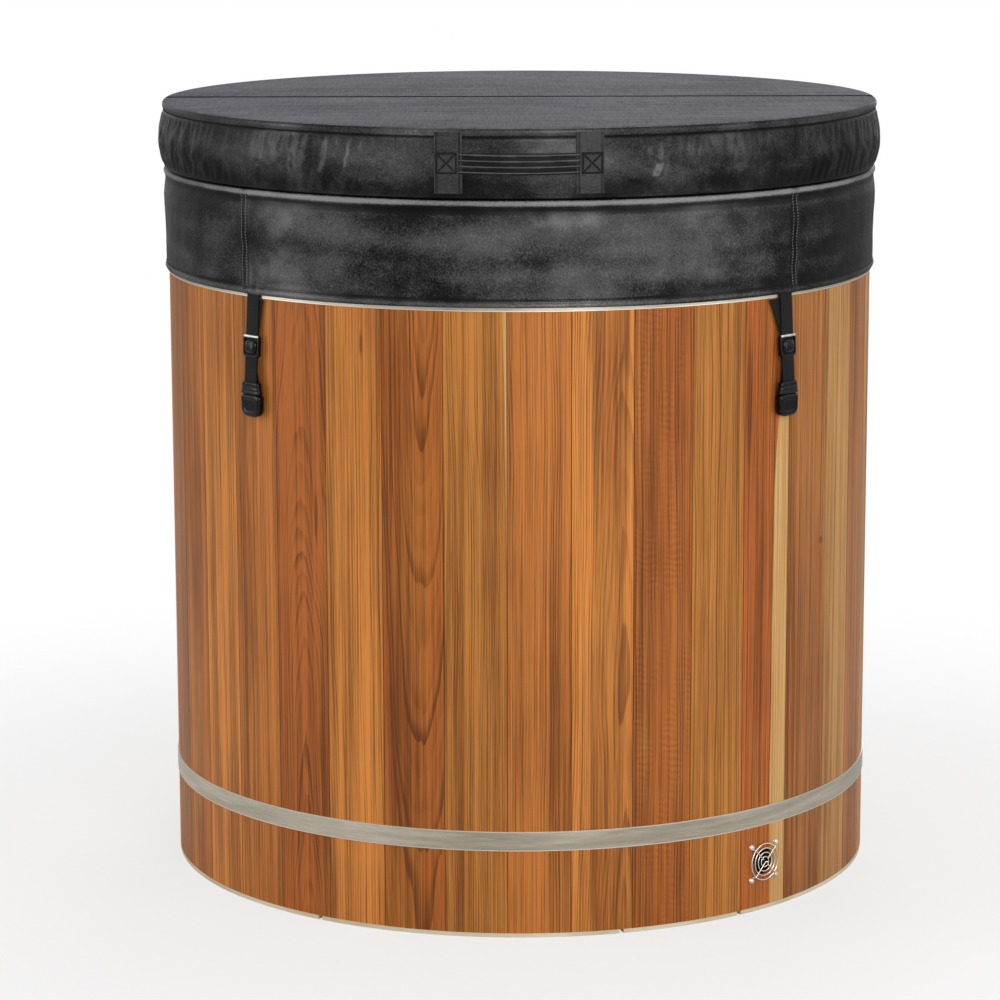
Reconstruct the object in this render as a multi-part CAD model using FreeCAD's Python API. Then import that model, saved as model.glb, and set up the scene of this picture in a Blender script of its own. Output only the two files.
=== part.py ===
import FreeCAD, Part
import math
import os
from FreeCAD import Vector

# Cold plunge tub: cedar staves in two hoops, a ventilated space under the floor,
# a drain, and a two-panel insulated cover with skirt, handles and buckled straps.
#
# Millimetres and degrees.  +Z is up and the front faces -Y.  The origin is the
# centre of the underside of the base plate.  An azimuth is an angle round the
# tub from the front, positive towards +X.  A piece that belongs on the wall is
# built at azimuth 0, where outwards is -Y, and is then turned to its place.

# ---- Driving dimensions -------------------------------------------------------

# Vessel
tub_radius = 533.4
stave_count = 37
stave_length = 1054.0
stave_thickness = 35.0
first_stave_azimuth = 2.96
bead_width = 14.0
bead_rise = 2.2
bead_clearance = 0.25
stave_arris = 0.6
stave_top_chamfer = 3.0
base_thickness = 6.0
weep_slot_width = 7.0
weep_slot_depth = 30.0
weep_slot_azimuths = (15.8, 36.8, -33.1, 195.8, 216.8, 146.9)

# Floor
floor_height = 125.0
floor_thickness = 32.0
croze_depth = 9.0
croze_clearance = 0.4
board_count = 7
tongue_depth = 8.0
tongue_height = 10.0
tongue_clearance = 0.3
joist_width = 38.0
joist_spacing = 240.0
joist_end_clearance = 4.0

# Hoops
hoop_width = 28.6
hoop_thickness = 1.5
hoop_clearance = 0.05
lower_hoop_height = 128.4
upper_hoop_below_top = 155.5
hoop_bolt_azimuth = 180.0
hoop_gap = 24.0
lug_length = 26.0
lug_reach = 20.0
lug_weld_depth = 1.1
lug_chamfer = 5.0
hoop_bolt_diameter = 8.0
hoop_bolt_hole = 8.8
hoop_bolt_length = 100.0
hoop_bolt_across_flats = 13.0
hoop_bolt_head = 5.3
hoop_nut_thickness = 6.8

# Vent with its fan and wire guard
vent_stave = 4
vent_height = 73.0
vent_diameter = 40.0
fan_size = 60.0
fan_depth = 15.0
fan_corner = 4.0
fan_bore = 57.0
fan_hole_spacing = 50.0
fan_hole_diameter = 4.3
stave_screw_hole = 4.6
fan_strut_width = 4.0
fan_strut_thickness = 3.0
fan_hub_plate = 26.0
bearing_diameter = 8.0
bearing_length = 8.0
shaft_diameter = 3.0
shaft_clearance = 0.05
rotor_hub_diameter = 28.0
rotor_hub_length = 9.0
rotor_wall = 1.5
rotor_end_clearance = 0.8
blade_count = 7
blade_tip_clearance = 0.8
blade_chord = 12.0
blade_thickness = 1.2
blade_pitch = 42.0
guard_wire = 2.0
guard_wire_sides = 6
guard_ring_runs = 24
guard_ring_radii = (27.3, 20.4, 14.0, 7.6)
guard_stand_off = 4.0
guard_eyelet_diameter = 10.0
guard_eyelet_hole = 4.4
guard_eyelet_thickness = 1.6
guard_weld_depth = 0.3
guard_head_clearance = 0.9
fan_screw_diameter = 4.0
fan_screw_head_diameter = 7.6
fan_screw_head_height = 2.6
fan_screw_head_chamfer = 1.0
fan_nut_across_flats = 7.0
fan_nut_thickness = 3.2
fan_screw_end = 2.0

# Drain
drain_stave = 18
drain_azimuth = 180.0
drain_wall_distance = 138.4
drain_height = 66.0
pipe_diameter = 33.4
pipe_wall = 3.4
pipe_fit = 0.15
pipe_insertion = 16.0
flange_diameter = 80.0
flange_thickness = 4.0
tail_diameter = 44.0
tail_length = 52.0
tail_hole_clearance = 0.4
strainer_diameter = 60.0
strainer_thickness = 2.5
strainer_slots = 8
strainer_slot_width = 3.0
strainer_slot_start = 4.0
strainer_spigot_wall = 3.0
strainer_spigot_length = 8.0
drain_nut_across_flats = 62.0
drain_nut_thickness = 12.0
valve_stand_off = 1.0
valve_socket_diameter = 42.0
valve_barrel_diameter = 46.0
valve_barrel_below = 22.0
valve_barrel_above = 30.0
valve_plug_offset = 44.0
valve_plug_diameter = 28.0
valve_plug_height = 30.0
valve_plug_clearance = 0.05
valve_plug_end_clearance = 0.3
valve_bore = 18.0
stem_diameter = 8.0
stem_height = 40.0
hose_collar_across_flats = 34.0
hose_collar_length = 8.0
hose_thread_diameter = 26.6
hose_thread_length = 15.0
lever_length = 78.0
lever_width = 14.0
lever_thickness = 4.0
lever_gap = 1.0
lever_crank = 8.0
lever_chamfer = 4.0

# Cover
cover_overhang = 5.1
cover_thickness = 99.6
cover_seat_gap = 0.4
fold_gap = 5.0
skin_thickness = 1.2
skin_edge_chamfer = 2.5
core_clearance = 0.3
channel_thickness = 1.0
channel_flange = 30.0
channel_end_clearance = 12.0
hinge_strip_drop = 3.0
hinge_strip_clearance = 0.05
skirt_thickness = 1.2
skirt_overlap = 5.0
skirt_length = 147.4
skirt_end_gap = 1.0
bolt_relief_width = 124.0
bolt_relief_clearance = 9.0

# Cover handles
handle_half_angle = 8.5
handle_tab_angle = 3.9
handle_rise = 35.6
handle_height = 29.0
handle_bow = 13.0
handle_thickness = 4.0
handle_tab_thickness = 1.6
patch_thickness = 1.2
patch_angle = 4.2
patch_margin = 6.0

# Straps
strap_azimuth = 45.0
strap_width = 25.0
strap_thickness = 1.4
strap_leg_gap = 0.3
strap_sewn_length = 14.0
strap_sewn_clearance = 0.02
strap_bend_below_hem = 2.0
strap_meeting_above_bar = 21.0
strap_tail_below_hem = 32.0
slider_below_hem = 78.0
slider_length = 32.0
slider_rail = 3.4
slider_bar = 3.6
slider_depth = 7.0
slider_side_clearance = 0.7
slider_leg_clearance = 0.35

# Buckles
catch_wall_gap = 3.2
plug_bar_below_hem = 134.0
plug_bar_diameter = 4.0
plug_bar_clearance = 0.2
plug_arm_width = 4.0
plug_arm_depth = 6.0
plug_arm_clearance = 1.0
plug_arm_rise = 3.5
plug_shoulder_width = 41.0
plug_shoulder_depth = 9.0
plug_shoulder_below_bar = 13.3
plug_shoulder_thickness = 3.8
plug_corner = 2.7
plug_guide_width = 6.0
plug_guide_length = 21.0
prong_depth = 4.0
prong_width = 3.0
prong_side_play = 0.5
prong_length = 24.2
barb_shoulder_drop = 13.2
barb_nose_drop = 18.7
barb_reach = 6.3
catch_width = 45.0
catch_depth = 12.0
catch_length = 32.5
catch_corner = 11.0
catch_gap = 0.5
socket_half_width = 15.5
socket_clearance = 0.6
prong_end_clearance = 1.2
barb_play = 0.5
catch_screw_hole = 3.6
catch_screw_spacing = 18.0
catch_screw_rise = 4.0

# ---- Places worked out from them ----------------------------------------------

stave_pitch = 360.0 / stave_count
stave_half = stave_pitch / 2
tub_top = base_thickness + stave_length
wall_inside = tub_radius - stave_thickness
croze_radius = wall_inside + croze_depth
floor_top = floor_height + floor_thickness
upper_hoop_height = tub_top - upper_hoop_below_top
drain_floor_radius = wall_inside - drain_wall_distance
cover_radius = tub_radius + cover_overhang
cover_bottom = tub_top + cover_seat_gap
cover_top = cover_bottom + cover_thickness
skirt_hem_height = cover_bottom - skirt_length
handle_bottom = cover_bottom + handle_rise
buckle_radius = tub_radius + catch_wall_gap + catch_depth / 2
plug_bar_height = skirt_hem_height - plug_bar_below_hem
plug_shoulder_height = plug_bar_height - plug_shoulder_below_bar
catch_top = plug_shoulder_height - catch_gap
catch_bottom = catch_top - catch_length
hoop_outside = tub_radius + hoop_clearance + hoop_thickness
skin_inset = skin_thickness + skin_edge_chamfer / 2
os.makedirs("parts", exist_ok=True)


def stave_azimuth(index):
    """Azimuth of the middle of a stave."""
    return first_stave_azimuth + index * stave_pitch


def turned(shape, azimuth):
    """The shape carried round the tub's axis from the front to an azimuth."""
    copy = shape.copy()
    copy.rotate(Vector(0, 0, 0), Vector(0, 0, 1), azimuth)
    return copy


def polar(radius, azimuth, height=0.0):
    """The point at a radius, an azimuth and a height."""
    angle = math.radians(azimuth)
    return Vector(radius * math.sin(angle), -radius * math.cos(angle), height)


def box(x_low, x_high, y_low, y_high, z_low, z_high):
    """A block between two corners."""
    corner = Vector(x_low, y_low, z_low)
    return Part.makeBox(x_high - x_low, y_high - y_low, z_high - z_low, corner)


def rod_along_y(diameter, y_low, y_high, x, z):
    """A round bar parallel to Y."""
    return Part.makeCylinder(diameter / 2, y_high - y_low, Vector(x, y_low, z), Vector(0, 1, 0))


def rod_along_x(diameter, x_low, x_high, y, z):
    """A round bar parallel to X."""
    return Part.makeCylinder(diameter / 2, x_high - x_low, Vector(x_low, y, z), Vector(1, 0, 0))


def rod_along_z(diameter, z_low, z_high, x=0.0, y=0.0):
    """A round bar parallel to Z."""
    return Part.makeCylinder(diameter / 2, z_high - z_low, Vector(x, y, z_low))


def ring(outer_radius, inner_radius, z_low, z_high):
    """A band round the tub's axis."""
    outside = rod_along_z(2 * outer_radius, z_low, z_high)
    return outside.cut(rod_along_z(2 * inner_radius, z_low - 1, z_high + 1))


def hexagon(across_flats, thickness, start, direction):
    """A six-sided prism from a start point along a direction."""
    corner_radius = across_flats / math.sqrt(3)
    corners = []
    for step in range(7):
        angle = math.radians(60 * step)
        corners.append(Vector(corner_radius * math.cos(angle), corner_radius * math.sin(angle), 0))
    prism = Part.Face(Part.makePolygon(corners)).extrude(Vector(0, 0, thickness))
    placement = FreeCAD.Placement(start, FreeCAD.Rotation(Vector(0, 0, 1), direction))
    prism.Placement = placement
    return prism


def revolved(points):
    """A solid turned round the Z axis from (radius, height) points."""
    corners = [Vector(radius, 0, height) for radius, height in points]
    corners.append(corners[0])
    face = Part.Face(Part.makePolygon(corners))
    return face.revolve(Vector(0, 0, 0), Vector(0, 0, 1), 360)


def plate_in_xz(points, y_low, y_high):
    """A flat plate with an (x, z) outline, between two depths."""
    corners = [Vector(x, y_low, z) for x, z in points]
    corners.append(corners[0])
    return Part.Face(Part.makePolygon(corners)).extrude(Vector(0, y_high - y_low, 0))


def mitred(section, points):
    """A bar with the section of its first end, along straight runs that meet in mitres."""
    mitred_corners = 1
    return Part.makePolygon(points).makePipeShell([section], True, False, mitred_corners)


def circle_section(diameter, start, direction):
    """The outline of a round bar."""
    return Part.Wire(Part.makeCircle(diameter / 2, start, direction))


def wire_section(diameter, start, direction, side):
    """A many-sided outline that stands for a thin round wire; side points at one corner."""
    corners = []
    for step in range(guard_wire_sides + 1):
        spin = FreeCAD.Rotation(direction, 360.0 / guard_wire_sides * step)
        corners.append(start + spin.multVec(side) * (diameter / 2))
    return Part.makePolygon(corners)


def save(name, *shapes):
    """Write one node, which may be a group of separate solids."""
    shape = shapes[0] if len(shapes) == 1 else Part.makeCompound(list(shapes))
    shape.exportStep("parts/%s.step" % name)


# ---- Base and staves ----------------------------------------------------------


def base_plate():
    """Disc the staves stand on, with weep slots through its rim."""
    disc = rod_along_z(2 * tub_radius, 0, base_thickness)
    for azimuth in weep_slot_azimuths:
        slot = box(
            -weep_slot_width / 2,
            weep_slot_width / 2,
            -tub_radius - 1,
            -tub_radius + weep_slot_depth,
            -1,
            base_thickness + 1,
        )
        disc = disc.cut(turned(slot, azimuth))
    return disc


def stave_profile():
    """Cross-section of a stave: turned outside with eased arrises, planed inside, bead and cove."""
    mid_radius = tub_radius - stave_thickness / 2
    inner_corner = wall_inside / math.cos(math.radians(stave_half))
    bead_half = bead_width / 2
    cove_half = bead_half + bead_clearance
    past_right = polar(1, stave_half + 90)
    past_left = polar(1, 90 - stave_half)
    bead_tip = polar(mid_radius, stave_half) + past_right * bead_rise
    cove_floor = polar(mid_radius, -stave_half) + past_left * (bead_rise + bead_clearance)
    bead_out = polar(mid_radius + bead_half, stave_half)
    bead_in = polar(mid_radius - bead_half, stave_half)
    cove_out = polar(mid_radius + cove_half, -stave_half)
    cove_in = polar(mid_radius - cove_half, -stave_half)
    arris_angle = math.degrees(stave_arris / tub_radius)
    face_left = polar(tub_radius, arris_angle - stave_half)
    face_right = polar(tub_radius, stave_half - arris_angle)
    joint_left = polar(tub_radius - stave_arris, -stave_half)
    joint_right = polar(tub_radius - stave_arris, stave_half)
    inner_left = polar(inner_corner, -stave_half)
    inner_right = polar(inner_corner, stave_half)
    edges = [
        Part.Arc(face_left, polar(tub_radius, 0), face_right).toShape(),
        Part.makeLine(face_right, joint_right),
        Part.makeLine(joint_right, bead_out),
        Part.Arc(bead_out, bead_tip, bead_in).toShape(),
        Part.makeLine(bead_in, inner_right),
        Part.makeLine(inner_right, inner_left),
        Part.makeLine(inner_left, cove_in),
        Part.Arc(cove_in, cove_floor, cove_out).toShape(),
        Part.makeLine(cove_out, joint_left),
        Part.makeLine(joint_left, face_left),
    ]
    return Part.Face(Part.Wire(edges))


def plain_stave():
    """A stave at the front, with its croze groove and eased top edges."""
    stave = stave_profile().extrude(Vector(0, 0, stave_length))
    stave.translate(Vector(0, 0, base_thickness))
    groove_low = floor_height
    groove_high = floor_top + croze_clearance
    stave = stave.cut(rod_along_z(2 * (croze_radius + croze_clearance), groove_low, groove_high))
    eased = []
    for edge in stave.Edges:
        at_top = abs(edge.BoundBox.ZMin - tub_top) < 0.01
        crosswise = edge.BoundBox.XLength > tub_radius * math.radians(stave_half)
        if at_top and crosswise:
            eased.append(edge)
    return stave.makeChamfer(stave_top_chamfer, eased)


def fan_hole_places():
    """The (x, z) of the fan's four screws."""
    half = fan_hole_spacing / 2
    return [(x, vent_height + z) for x in (-half, half) for z in (-half, half)]


def vent_stave_shape():
    """The stave with the vent hole and the fan's screw holes."""
    stave = plain_stave()
    outside = -tub_radius - 1
    inside = -wall_inside + 1
    stave = stave.cut(rod_along_y(vent_diameter, outside, inside, 0, vent_height))
    for x, z in fan_hole_places():
        stave = stave.cut(rod_along_y(stave_screw_hole, outside, inside, x, z))
    return stave


def drain_stave_shape():
    """The stave that the drain pipe passes through."""
    hole = pipe_diameter + 2 * tail_hole_clearance
    passage = rod_along_y(hole, -tub_radius - 1, -wall_inside + 2, 0, drain_height)
    return turned(plain_stave(), stave_azimuth(drain_stave)).cut(turned(passage, drain_azimuth))


# ---- Floor --------------------------------------------------------------------


def floor_boards():
    """Tongued boards that run front to back and end in the croze."""
    disc = rod_along_z(2 * croze_radius, floor_height, floor_top)
    tail_hole = rod_along_z(
        tail_diameter + 2 * tail_hole_clearance, floor_height - 1, floor_top + 1, 0, -drain_floor_radius
    )
    disc = disc.cut(turned(tail_hole, drain_azimuth))
    board_width = 2 * croze_radius / board_count
    tongue_low = floor_height + (floor_thickness - tongue_height) / 2
    tongue_high = tongue_low + tongue_height
    boards = []
    for number in range(board_count):
        left = -croze_radius + number * board_width
        right = left + board_width
        block = box(left, right, -croze_radius, croze_radius, floor_height, floor_top)
        if number < board_count - 1:
            tongue = box(right, right + tongue_depth, -croze_radius, croze_radius, tongue_low, tongue_high)
            block = block.fuse(tongue)
        if number > 0:
            groove = box(
                left - 1,
                left + tongue_depth + tongue_clearance,
                -croze_radius,
                croze_radius,
                tongue_low - tongue_clearance,
                tongue_high + tongue_clearance,
            )
            block = block.cut(groove)
        boards.append(disc.common(block).removeSplitter())
    return boards


def floor_joists():
    """Three joists across the tub between the base plate and the boards."""
    space = rod_along_z(2 * (wall_inside - joist_end_clearance), base_thickness, floor_height)
    joists = []
    for y in (-joist_spacing, 0, joist_spacing):
        block = box(
            -tub_radius, tub_radius, y - joist_width / 2, y + joist_width / 2, base_thickness, floor_height
        )
        joists.append(space.common(block))
    return joists


# ---- Hoops --------------------------------------------------------------------

lug_bolt_radius = hoop_outside + lug_reach / 2


def hoop(height):
    """A band with a draw lug welded on each end."""
    band = ring(hoop_outside, tub_radius + hoop_clearance, height, height + hoop_width)
    low = height - 1
    high = height + hoop_width + 1
    band = band.cut(box(-hoop_gap / 2, hoop_gap / 2, -tub_radius - lug_reach, 0, low, high))
    lug_tip = -hoop_outside - lug_reach
    lug_root = -hoop_outside + lug_weld_depth
    for side in (-1, 1):
        near = side * hoop_gap / 2
        far = side * (hoop_gap / 2 + lug_length)
        lug = box(min(near, far), max(near, far), lug_tip, lug_root, height, height + hoop_width)
        tip = [e for e in lug.Edges if e.BoundBox.YMax < lug_tip + 0.1]
        upright = [e for e in tip if e.BoundBox.ZLength > hoop_width / 2]
        lug = lug.makeChamfer(lug_chamfer, upright)
        band = band.fuse(lug)
    bolt_height = height + hoop_width / 2
    hole = rod_along_x(hoop_bolt_hole, -hoop_bolt_length, hoop_bolt_length, -lug_bolt_radius, bolt_height)
    return turned(band.cut(hole), hoop_bolt_azimuth)


def hoop_bolt(height):
    """Draw bolt through both lugs of a hoop, and its nut."""
    z = height + hoop_width / 2
    head_face = -hoop_gap / 2 - lug_length
    end = head_face + hoop_bolt_length
    shank = rod_along_x(hoop_bolt_diameter, head_face, end, -lug_bolt_radius, z)
    seat = Vector(head_face, -lug_bolt_radius, z)
    head = hexagon(hoop_bolt_across_flats, hoop_bolt_head, seat, Vector(-1, 0, 0))
    nut_seat = Vector(-head_face, -lug_bolt_radius, z)
    nut = hexagon(hoop_bolt_across_flats, hoop_nut_thickness, nut_seat, Vector(1, 0, 0))
    nut = nut.cut(rod_along_x(hoop_bolt_diameter, -end, end, -lug_bolt_radius, z))
    return [turned(shank.fuse(head), hoop_bolt_azimuth), turned(nut, hoop_bolt_azimuth)]


# ---- Fan and guard ------------------------------------------------------------

fan_face = -wall_inside
fan_back = fan_face + fan_depth
half_spacing = fan_hole_spacing / 2
eyelet_inner_edge = half_spacing - guard_eyelet_diameter / 2
guard_face = -math.sqrt(tub_radius ** 2 - eyelet_inner_edge ** 2)


def fan_frame():
    """Square frame with a round bore, three struts, and the bearing tube."""
    half = fan_size / 2
    block = box(-half, half, fan_face, fan_back, vent_height - half, vent_height + half)
    corners = [e for e in block.Edges if e.BoundBox.YLength > fan_depth / 2]
    frame = block.makeFillet(fan_corner, corners)
    frame = frame.cut(rod_along_y(fan_bore, fan_face - 1, fan_back + 1, 0, vent_height))
    for x, z in fan_hole_places():
        frame = frame.cut(rod_along_y(fan_hole_diameter, fan_face - 1, fan_back + 1, x, z))
    strut_face = fan_back - fan_strut_thickness
    hub = rod_along_y(fan_hub_plate, strut_face, fan_back, 0, vent_height)
    strut_half = fan_strut_width / 2
    strut_end = vent_height + fan_bore / 2 + 1
    for number in range(3):
        strut = box(-strut_half, strut_half, strut_face, fan_back, vent_height, strut_end)
        strut.rotate(Vector(0, 0, vent_height), Vector(0, 1, 0), 30 + 120 * number)
        hub = hub.fuse(strut)
    hub = hub.fuse(rod_along_y(bearing_diameter, strut_face - bearing_length, strut_face, 0, vent_height))
    bore = rod_along_y(shaft_diameter + 2 * shaft_clearance, fan_face, fan_back + 1, 0, vent_height)
    return frame.fuse(hub).cut(bore)


def fan_rotor():
    """Hub cup with its shaft and pitched blades."""
    hub_front = fan_face + rotor_end_clearance
    hub_back = hub_front + rotor_hub_length
    cup = rod_along_y(rotor_hub_diameter, hub_front, hub_back, 0, vent_height)
    hollow = rod_along_y(
        rotor_hub_diameter - 2 * rotor_wall, hub_front + rotor_wall, hub_back + 1, 0, vent_height
    )
    cup = cup.cut(hollow)
    shaft = rod_along_y(shaft_diameter, hub_front, fan_back - rotor_end_clearance, 0, vent_height)
    rotor = cup.fuse(shaft)
    tip_radius = fan_bore / 2 - blade_tip_clearance
    root_radius = rotor_hub_diameter / 2 - rotor_wall / 2
    middle = (hub_front + hub_back) / 2
    reach = rod_along_y(2 * tip_radius, hub_front, hub_back, 0, vent_height)
    reach = reach.cut(rod_along_y(2 * root_radius, hub_front, hub_back, 0, vent_height))
    for number in range(blade_count):
        blade = box(
            -blade_chord / 2,
            blade_chord / 2,
            middle - blade_thickness / 2,
            middle + blade_thickness / 2,
            vent_height + root_radius - 1,
            vent_height + tip_radius + 1,
        )
        blade.rotate(Vector(0, middle, vent_height), Vector(0, 0, 1), blade_pitch)
        blade.rotate(Vector(0, 0, vent_height), Vector(0, 1, 0), 360.0 / blade_count * number)
        rotor = rotor.fuse(blade.common(reach))
    return rotor


def guard_ring(radius, y):
    """One ring of wire, bent in short straight runs."""
    corners = []
    for step in range(guard_ring_runs + 1):
        angle = 2 * math.pi * step / guard_ring_runs
        corners.append(Vector(radius * math.cos(angle), y, vent_height + radius * math.sin(angle)))
    along = corners[1] - corners[0]
    middle = (corners[0] + corners[1]) / 2
    section = wire_section(guard_wire, middle, along, Vector(0, 1, 0))
    route = [middle] + corners[1:-1] + [corners[0], middle]
    return mitred(section, route)


def fan_guard():
    """Wire rings welded under four diagonal ribs that end in screw eyelets."""
    across = Vector(0, 1, 0)
    ring_plane = guard_face - guard_stand_off
    rib_plane = ring_plane - guard_wire + guard_weld_depth
    guard = None
    for radius in guard_ring_radii:
        ring_wire = guard_ring(radius, ring_plane)
        guard = ring_wire if guard is None else guard.fuse(ring_wire)
    eyelet_low = guard_face - guard_eyelet_thickness
    eyelet_middle = guard_face - guard_wire / 2
    corner = half_spacing * math.sqrt(2)
    rib_end = corner - fan_screw_head_diameter / 2 - guard_head_clearance
    for x, z in fan_hole_places():
        outward = Vector(x, 0, z - vent_height).normalize()
        centre = Vector(0, 0, vent_height)
        route = [
            centre + outward * (guard_ring_radii[-1] - guard_wire / 2) + across * rib_plane,
            centre + outward * (guard_ring_radii[0] + guard_wire / 2) + across * rib_plane,
            centre + outward * rib_end + across * eyelet_middle,
        ]
        rib = mitred(wire_section(guard_wire, route[0], outward, across), route)
        eyelet = rod_along_y(guard_eyelet_diameter, eyelet_low, guard_face, x, z)
        guard = guard.fuse(rib).fuse(eyelet)
    low = vent_height - fan_size
    high = vent_height + fan_size
    guard = guard.cut(box(-fan_size, fan_size, guard_face, guard_face + guard_wire, low, high))
    for x, z in fan_hole_places():
        guard = guard.cut(rod_along_y(guard_eyelet_hole, eyelet_low - 3, guard_face + 1, x, z))
    return guard


def fan_fasteners():
    """Screws through eyelet, stave and fan frame, each with a nut inside."""
    under_head = guard_face - guard_eyelet_thickness
    pieces = []
    for x, z in fan_hole_places():
        end = fan_back + fan_nut_thickness + fan_screw_end
        shank = rod_along_y(fan_screw_diameter, under_head, end, x, z)
        head_top = under_head - fan_screw_head_height
        head = rod_along_y(fan_screw_head_diameter, head_top, under_head, x, z)
        rim = [e for e in head.Edges if e.BoundBox.YMax < head_top + 0.1]
        head = head.makeChamfer(fan_screw_head_chamfer, rim)
        nut = hexagon(fan_nut_across_flats, fan_nut_thickness, Vector(x, fan_back, z), Vector(0, 1, 0))
        nut = nut.cut(rod_along_y(fan_screw_diameter, fan_back - 1, end, x, z))
        pieces.append(shank.fuse(head))
        pieces.append(nut)
    return pieces


# ---- Drain --------------------------------------------------------------------

pipe_bore = pipe_diameter - 2 * pipe_wall
socket_bore = pipe_diameter + 2 * pipe_fit
valve_face = -tub_radius - valve_stand_off
plug_y = -tub_radius - valve_plug_offset
plug_low = drain_height - valve_plug_height / 2
plug_high = drain_height + valve_plug_height / 2
barrel_outer = plug_y - valve_barrel_diameter / 2


def drain_flange():
    """Flange on the boards with a threaded tail through them."""
    tail = tail_diameter / 2
    bore = socket_bore / 2
    low = floor_top + flange_thickness - tail_length
    shape = revolved(
        [
            (bore, floor_top + flange_thickness),
            (flange_diameter / 2, floor_top + flange_thickness),
            (flange_diameter / 2, floor_top),
            (tail, floor_top),
            (tail, low),
            (bore, low),
        ]
    )
    shape.translate(Vector(0, -drain_floor_radius, 0))
    return shape


def drain_strainer():
    """Slotted lid whose spigot drops into the flange."""
    seat = floor_top + flange_thickness
    spigot = pipe_diameter / 2
    hollow = spigot - strainer_spigot_wall
    shape = revolved(
        [
            (0, seat),
            (hollow, seat),
            (hollow, seat - strainer_spigot_length),
            (spigot, seat - strainer_spigot_length),
            (spigot, seat),
            (strainer_diameter / 2, seat),
            (strainer_diameter / 2, seat + strainer_thickness),
            (0, seat + strainer_thickness),
        ]
    )
    half_slot = strainer_slot_width / 2
    slot_top = seat + strainer_thickness + 1
    for number in range(strainer_slots):
        slot = box(strainer_slot_start, hollow - 1, -half_slot, half_slot, seat - 1, slot_top)
        slot.rotate(Vector(0, 0, 0), Vector(0, 0, 1), 360.0 / strainer_slots * number)
        shape = shape.cut(slot)
    shape.translate(Vector(0, -drain_floor_radius, 0))
    return shape


def drain_nut():
    """Backing nut under the boards."""
    low = floor_height - drain_nut_thickness
    nut = hexagon(drain_nut_across_flats, drain_nut_thickness, Vector(0, 0, low), Vector(0, 0, 1))
    nut = nut.cut(rod_along_z(tail_diameter, low - 1, floor_height + 1))
    nut.translate(Vector(0, -drain_floor_radius, 0))
    return nut


def drain_pipe():
    """Pipe that drops from the flange's tail, turns a square elbow, and leaves through the wall."""
    top = Vector(0, -drain_floor_radius, floor_top + flange_thickness - tail_length + pipe_insertion)
    corner = Vector(0, -drain_floor_radius, drain_height)
    end = Vector(0, valve_face - pipe_insertion, drain_height)
    down = Vector(0, 0, -1)
    outside = mitred(circle_section(pipe_diameter, top, down), [top, corner, end])
    return outside.cut(mitred(circle_section(pipe_bore, top, down), [top, corner, end]))


def valve_body():
    """Socket for the pipe, upright barrel that the plug turns in, and hose thread."""
    z = drain_height
    outlet = barrel_outer - hose_collar_length
    tip = outlet - hose_thread_length
    body = rod_along_z(valve_barrel_diameter, z - valve_barrel_below, z + valve_barrel_above, 0, plug_y)
    body = body.fuse(rod_along_y(valve_socket_diameter, plug_y, valve_face, 0, z))
    collar = hexagon(hose_collar_across_flats, plug_y - outlet, Vector(0, outlet, z), Vector(0, 1, 0))
    body = body.fuse(collar)
    body = body.fuse(rod_along_y(hose_thread_diameter, tip, outlet, 0, z))
    body = body.cut(rod_along_y(socket_bore, valve_face - pipe_insertion, valve_face + 1, 0, z))
    body = body.cut(rod_along_y(valve_bore, tip - 1, valve_face, 0, z))
    cavity_low = plug_low - valve_plug_end_clearance
    cavity_high = plug_high + valve_plug_end_clearance
    cavity_diameter = valve_plug_diameter + 2 * valve_plug_clearance
    body = body.cut(rod_along_z(cavity_diameter, cavity_low, cavity_high, 0, plug_y))
    stem_hole = stem_diameter + 2 * valve_plug_clearance
    return body.cut(rod_along_z(stem_hole, z, z + valve_barrel_above + 1, 0, plug_y))


def valve_plug():
    """Bored plug on its stem, shut: the bore lies across the pipe."""
    plug_solid = rod_along_z(valve_plug_diameter, plug_low, plug_high, 0, plug_y)
    bore = rod_along_x(valve_bore, -valve_plug_diameter, valve_plug_diameter, plug_y, drain_height)
    stem = rod_along_z(stem_diameter, plug_high, drain_height + stem_height, 0, plug_y)
    return plug_solid.cut(bore).fuse(stem)


def valve_lever():
    """Cranked flat lever on the stem, lying along the wall when shut."""
    low = drain_height + valve_barrel_above + lever_gap
    high = low + lever_thickness
    crank_start = lever_width
    crank_end = crank_start + lever_crank
    outline = [
        (-lever_width / 2, low),
        (crank_start, low),
        (crank_end, low + lever_crank),
        (lever_length, low + lever_crank),
        (lever_length, high + lever_crank),
        (crank_end - lever_thickness / 2, high + lever_crank),
        (crank_start - lever_thickness / 2, high),
        (-lever_width / 2, high),
    ]
    lever = plate_in_xz(outline, plug_y - lever_width / 2, plug_y + lever_width / 2)
    upright = [e for e in lever.Edges if e.BoundBox.XLength < 0.01 and e.BoundBox.YLength < 0.01]
    lever = lever.makeChamfer(lever_chamfer, upright)
    return lever.cut(rod_along_z(stem_diameter, low - 1, high + 1, 0, plug_y))


# ---- Cover --------------------------------------------------------------------


def half_slab(radius, straight_edge, z_low, z_high):
    """The front half of a disc, stopping short of the fold by straight_edge."""
    disc = rod_along_z(2 * radius, z_low, z_high)
    return disc.common(box(-radius, radius, -radius, -straight_edge, z_low, z_high))


def cover_skin():
    """Vinyl envelope of the front panel, hollow for the core and channel."""
    outside = half_slab(cover_radius, fold_gap / 2, cover_bottom, cover_top)
    round_edges = [e for e in outside.Edges if e.Curve.TypeId == "Part::GeomCircle"]
    outside = outside.makeChamfer(skin_edge_chamfer, round_edges)
    inside = half_slab(
        cover_radius - skin_inset,
        fold_gap / 2 + skin_thickness,
        cover_bottom + skin_thickness,
        cover_top - skin_thickness,
    )
    return outside.cut(inside)


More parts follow.
